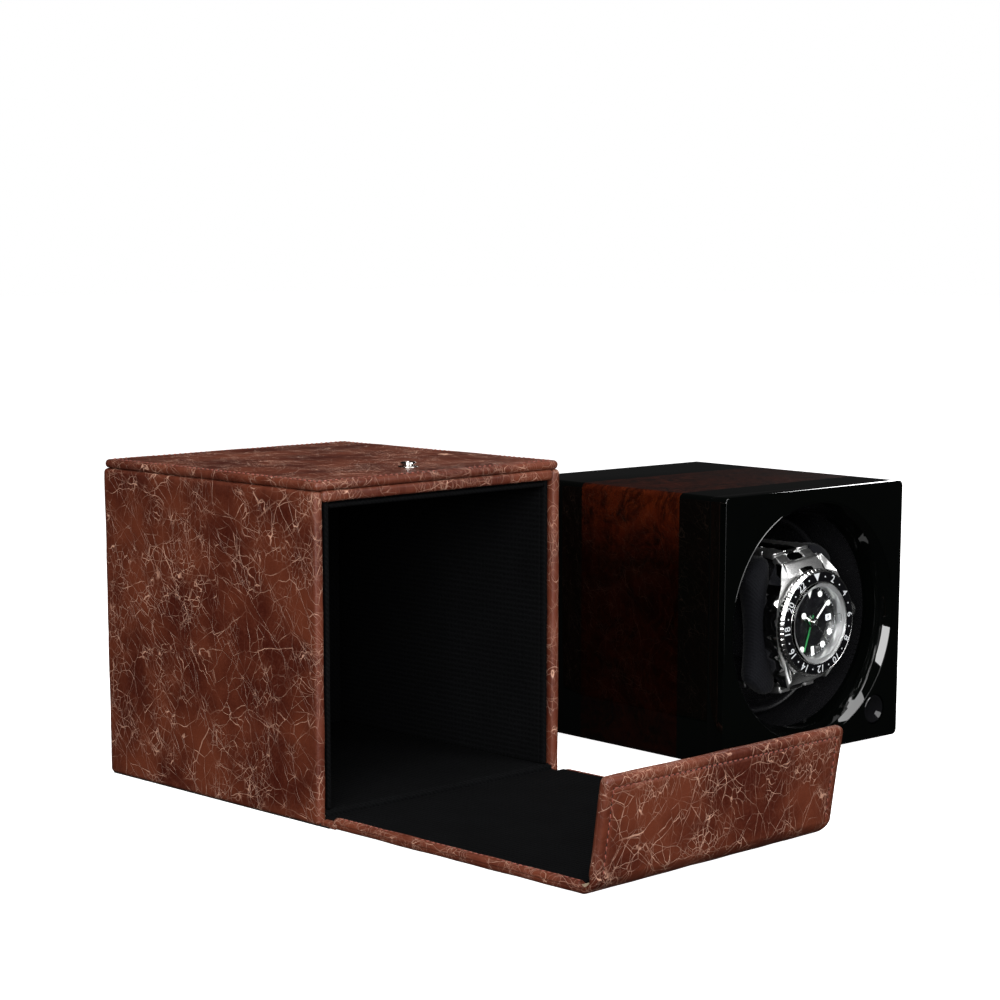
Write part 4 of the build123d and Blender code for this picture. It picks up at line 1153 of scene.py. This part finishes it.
insert_tilt = -math.atan2(0.24, 3.36)       # the insert's slope, so that the marks lie on it
mark_radius, mark_depth = 17.6, 0.88
bezel_marks = []
for hour in range(24):
    if hour == 0:
        mark = extruded([(-1.65, 1.4), (1.65, 1.4), (0, -1.5)], -0.03, 0.03)
    elif hour % 2:
        mark = extruded(arc(0.30, 0, 330, 11), -0.03, 0.03)
    else:
        mark = text_part(str(hour), 4.1, 0.06)
    bezel_marks.append(on_clock(mark, hour, mark_radius, mark_depth, 24, insert_tilt))
piece("bezel_numerals", merged(*bezel_marks), WHITE_INK, "bezel", (), IN_WATCH)

dial_y = 5.4
dial_profile = soften([(0.8, dial_y), (13.85, dial_y), (13.85, dial_y + 0.5), (0.8, dial_y + 0.5)], 0.03, 2)
piece("dial_plate", lathe(dial_profile), DIAL_BLACK, "holder", ("dial",), IN_WATCH)


def rectangle(half_x, half_z):
    """An outline of a rectangle, about its centre."""
    return [(-half_x, half_z), (half_x, half_z), (half_x, -half_z), (-half_x, -half_z)]


plot_radius, track_radius = 10.9, 12.5
plots, rims = [], []
for hour in range(12):
    if hour == 0:
        shape, rim = [(-1.6, 1.6), (1.6, 1.6), (0, -2.2)], [(-1.9, 1.8), (1.9, 1.8), (0, -2.7)]
    elif hour in (6, 9):
        shape, rim = rectangle(0.68, 1.65), rectangle(0.88, 1.85)
    elif hour == 3:
        continue
    else:
        shape, rim = arc(1.12, 0, 348, 29), arc(1.32, 0, 348, 29)
    plots.append(on_clock(extruded(shape, -0.30, 0.0), hour, plot_radius, dial_y))
    rims.append(on_clock(extruded(rim, -0.22, 0.0), hour, plot_radius, dial_y))
piece("hour_plots", merged(*plots), LUME, "holder", ("hour_markers",), IN_WATCH)
piece("hour_plot_rims", merged(*rims), POLISHED, "holder", (), IN_WATCH)

minutes = []
for minute in range(60):
    half, length = (0.11, 0.85) if minute % 5 == 0 else (0.05, 0.6)
    if 13 <= minute <= 17:
        continue
    minutes.append(on_clock(extruded(rectangle(half, length / 2), -0.02, 0.01), minute, track_radius, dial_y, 60))
window = extruded(soften([(8.0, -1.15), (10.8, -1.15), (10.8, 1.15), (8.0, 1.15)], 0.12, 2), dial_y - 0.05,
                  dial_y + 0.02)
piece("minute_track", merged(*minutes, window), WHITE_INK, "holder", (), IN_WATCH)
date = placed(text_part("8", 2.2, 0.04), Matrix.Translation((9.4, dial_y - 0.07, 0)))
piece("date_numeral", date, DIAL_BLACK, "holder", (), IN_WATCH)

crystal_profile = soften([(0, 0.05), (14.9, 0.12), (15.4, 0.45), (15.4, 1.4), (0, 1.4)], [0, 0.3, 0.15, 0.05, 0], 4)
crystal = piece("watch_crystal", lathe(crystal_profile, 160), CRYSTAL, "holder", ("crystal",), IN_WATCH)
crystal.visible_shadow = False
lens_part = slab((7.1, -0.45, -1.8), (11.7, 0.10, 1.8), 0.2, 1.1, thick=1, step=0.4)
lens = piece("date_lens", lens_part, CRYSTAL, "holder", (), IN_WATCH, 60)
lens.visible_shadow = False

# Hands: the CAD blades stay, with lume laid on them.
for node, material in (("hour_hand", POLISHED), ("minute_hand", POLISHED), ("seconds_hand", POLISHED),
                       ("second_zone_hand", GREEN)):
    paint(frame["nodes"][node].data, material)
# name, body, the hand's turn in degrees, depth, outlines
HAND_LUME = (
    ("hour_hand_lume", "hour_hand_body", 304, 4.3,
     [arc(1.15, 0, 345, 23, (0, 5.6)), [(-0.3, 1.7), (0.3, 1.7), (0.3, 4.2), (-0.3, 4.2)]]),
    ("minute_hand_lume", "minute_hand_body", 50, 3.8,
     [[(-0.34, 2.0), (0.34, 2.0), (0.34, 10.1), (0, 10.9), (-0.34, 10.1)]]),
)
for name, body, turn, depth, shapes in HAND_LUME:
    lume = merged(*[extruded(shape, depth - 0.05, depth + 0.02) for shape in shapes])
    piece(name, placed(lume, Matrix.Rotation(math.radians(turn), 4, "Y")), LUME, body, (), IN_WATCH)
hub = lathe(soften([(0, 2.95), (0.85, 2.95), (0.85, 3.3), (0, 3.3)], [0, 0.15, 0.05, 0], 3), 32)
piece("hand_hub", hub, POLISHED, "seconds_hand_body", (), IN_WATCH)

crown_knurl, crown_rim, knurl_depth = 30, 2.72, 0.07
crown_points, crown_faces = lathe(soften([(0, 0), (2.7, 0), (3.0, 0.3), (3.0, 4.3), (2.6, 4.75), (0, 4.8)],
                                         [0, 0.2, 0.1, 0.1, 0.3, 0], 3), 192)
for p in crown_points:
    radius = math.hypot(p.x, p.z)
    if radius > crown_rim:
        wave = max(0.0, math.cos(math.atan2(p.z, p.x) * crown_knurl)) * min(1, (radius - crown_rim) / 0.2)
        p.x, p.z = p.x * (1 - knurl_depth * wave), p.z * (1 - knurl_depth * wave)
CROWN_PLACE = (IN_WATCH @ Matrix.Translation(Vector((21.0, 7.4, 0)) * MM)
               @ Matrix.Rotation(math.radians(-90), 4, "Z"))
piece("crown_knob", (crown_points, crown_faces), SOFT_STEEL, "crown", ("crown",), CROWN_PLACE, 30)


# ---- Bracelet -------------------------------------------------------------------------------------------------

link_pitch = 6.0
link_t = 2.6
core_gap = 0.4              # between the holder's core and the links
path_z = 24.5 + core_gap + link_t / 2
path_y = 50.0 + core_gap + link_t / 2
path_bend = 11.4 + link_t / 2
clasp_half = 13.0


def bracelet_line():
    """Points and directions every half link round the holder, as (y, z, direction)."""
    half = [(9.2 - WATCH_AHEAD, 21.2), (15.4 - WATCH_AHEAD, path_z), (path_y, path_z)]
    corners = half + [(y, -z) for y, z in reversed(half)]
    radii = [4.0, path_bend, path_bend, 4.0]
    line = [Vector(corners[0])]
    for k, radius in enumerate(radii, 1):
        here, before, after = (Vector(corners[i]) for i in (k, k - 1, k + 1))
        a, b = (before - here).normalized(), (after - here).normalized()
        half = a.angle(b) / 2
        start, end = here + a * radius / math.tan(half), here + b * radius / math.tan(half)
        centre = here + (a + b).normalized() * radius / math.sin(half)
        u, v = start - centre, end - centre
        sweep = u.angle(v)
        for step in range(13):
            t = step / 12
            line.append(centre + (u * math.sin((1 - t) * sweep) + v * math.sin(t * sweep)) / math.sin(sweep))
    line.append(Vector(corners[-1]))
    return line


def link_places():
    """Where each link sits: its centre and its direction along the bracelet."""
    line = bracelet_line()
    lengths = [0.0]
    for a, b in zip(line, line[1:]):
        lengths.append(lengths[-1] + (b - a).length)
    count = round(lengths[-1] / link_pitch)

    def at(distance):
        """The point a distance along the line."""
        for k in range(len(line) - 1):
            if lengths[k + 1] >= distance:
                share = (distance - lengths[k]) / max(lengths[k + 1] - lengths[k], 1e-9)
                return line[k] + (line[k + 1] - line[k]) * share
        return line[-1]

    places = []
    for index in range(count):
        middle = (index + 0.5) * lengths[-1] / count
        spot, ahead, behind = at(middle), at(middle + 1.0), at(middle - 1.0)
        if spot.x > path_y - 0.5 and abs(spot.y) < clasp_half + link_pitch / 2:
            continue
        places.append((spot, (ahead - behind).normalized()))
    return places


def link_row(xs, width, length, crown, ends=False):
    """The links of one or more rows: rounded blocks, slightly crowned outside. ends adds one at each lug."""
    parts, places = [], link_places()
    if ends:
        (first, way), (last, back) = places[0], places[-1]
        places = [(first - way * link_pitch * 0.95, way), *places, (last + back * link_pitch * 0.95, back)]
    for spot, along in places:
        out = Vector((0, -along.y, along.x))
        way = Vector((0, along.x, along.y))
        if out.dot(Vector((0, spot.x - 32, spot.y))) < 0:
            out = -out
        for x in xs:
            half = (width / 2, length / 2, link_t / 2)
            points, faces = slab([-h for h in half], half, 0.42, 1.1, step=1.5)
            for p in points:
                lift = crown * (1 - (2 * p.x / width) ** 2) if p.z > 0 else 0
                moved = Vector((x + p.x, spot.x, spot.y)) + way * p.y + out * (p.z + lift)
                p.x, p.y, p.z = moved
            parts.append((points, faces))
    return merged(*parts)


piece("outer_links", link_row((-6.9, 6.9), 5.9, link_pitch + 0.5, 0.1), BRUSHED, "holder",
      ("bracelet_side_links",), IN_HOLDER, 45)
piece("centre_links", link_row((0,), 7.7, link_pitch - 0.25, 0.25, True), POLISHED, "holder",
      ("bracelet_centre_links",), IN_HOLDER, 45)
clasp_part = slab((-8.5, 50.4, -clasp_half), (8.5, 54.2, clasp_half), 0.9, 1.0, thick=1, step=3)
piece("clasp_cover", clasp_part, BRUSHED, "holder", ("clasp",), IN_HOLDER, 45)
end_links = []
for up in (-1, 1):
    low, high = sorted((up * 17.8, up * 23.8))
    points, faces = slab((-9.9, 5.2, low), (9.9, 10.4, high), 0.7, 0.8, thick=1, step=2)
    for p in points:
        if p.y < 8:
            p.y += max(0.0, abs(p.z) - 18.5) * 0.55 + 0.5 * (p.x / 9.9) ** 2
    end_links.append((points, faces))
piece("end_links", merged(*end_links), BRUSHED, "holder", (), IN_WATCH, 45)


# ---- Floor, light and camera ----------------------------------------------------------------------------------

def stage_floor():
    """A plain pale floor, just under the feet, that gives its own even light and casts none on the boxes."""
    mesh = bpy.data.meshes.new("floor")
    half = 6.0
    mesh.from_pydata([(-half, -half, 0), (half, -half, 0), (half, half, 0), (-half, half, 0)], [], [[0, 1, 2, 3]])
    n = Nodes("pale_floor")
    n.shader.inputs["Emission Strength"].default_value = 1.0
    n.shader.inputs["Emission Color"].default_value = rgb(1, 1, 1)
    n.finish(n.mix(n.noise(8, 3.0), rgb(0.80, 0.80, 0.80), rgb(0.84, 0.84, 0.84)), 0.9)
    obj = linked("floor", mesh)
    mesh.materials.append(n.material)
    obj.location.z = -0.0002
    obj.visible_glossy = False
    obj.visible_diffuse = False
    obj.visible_transmission = False


def soft_box(name, place, target, width, height, power):
    """A rectangular studio light, turned to a target."""
    data = bpy.data.lights.new(name, "AREA")
    data.shape, data.size, data.size_y, data.energy = "RECTANGLE", width, height, power
    obj = linked(name, data)
    obj.location = place
    obj.rotation_euler = (Vector(target) - Vector(place)).to_track_quat("-Z", "Y").to_euler()


def white_room():
    """A white surround for the camera, and a dim one for light and reflections."""
    world = bpy.data.worlds.new("room")
    world.use_nodes = True
    tree = world.node_tree
    background = tree.nodes["Background"]
    path = tree.nodes.new("ShaderNodeLightPath")
    strength = tree.nodes.new("ShaderNodeMapRange")
    tree.links.new(path.outputs["Is Camera Ray"], strength.inputs["Value"])
    strength.inputs["To Min"].default_value = 0.012
    strength.inputs["To Max"].default_value = 1.0
    tree.links.new(strength.outputs[0], background.inputs["Strength"])
    background.inputs["Color"].default_value = rgb(1, 1, 1)
    bpy.context.scene.world = world


stage_floor()
white_room()
# name, place, target, width, height (metres), watts
SOFT_BOXES = (
    ("key_left", (-1.22, -1.02, 0.60), (0.0, 0.0, 0.05), 1.0, 0.9, 38),
    ("front_fill", (0.15, -1.6, 0.45), (0.1, -0.1, 0.05), 1.2, 0.6, 9),
    ("overhead", (-0.08, -0.32, 1.05), (-0.02, -0.25, 0.05), 1.02, 0.56, 11),
    ("front_right", (0.55, -1.35, 0.80), (0.15, -0.1, 0.05), 0.5, 0.4, 6),
    ("edge_right", (1.12, 0.45, 0.48), (0.15, -0.1, 0.05), 0.12, 0.42, 1.6),
)
for light in SOFT_BOXES:
    soft_box(*light)

camera_data = bpy.data.cameras.new("camera")
camera = linked("camera", camera_data)
bpy.context.scene.camera = camera
camera_turn = 44.239
camera_tilt = 9.394
camera.location = (-0.5726, -0.6690, 0.1949)
camera.rotation_euler = (math.radians(90 - camera_tilt), 0, math.radians(-camera_turn))
camera_data.lens = 88.364
camera_data.sensor_width = 36.0
camera_data.shift_x = 0.01148
camera_data.shift_y = 0.14031
camera_data.clip_start = 0.01
bpy.context.scene.view_settings.view_transform = "Standard"
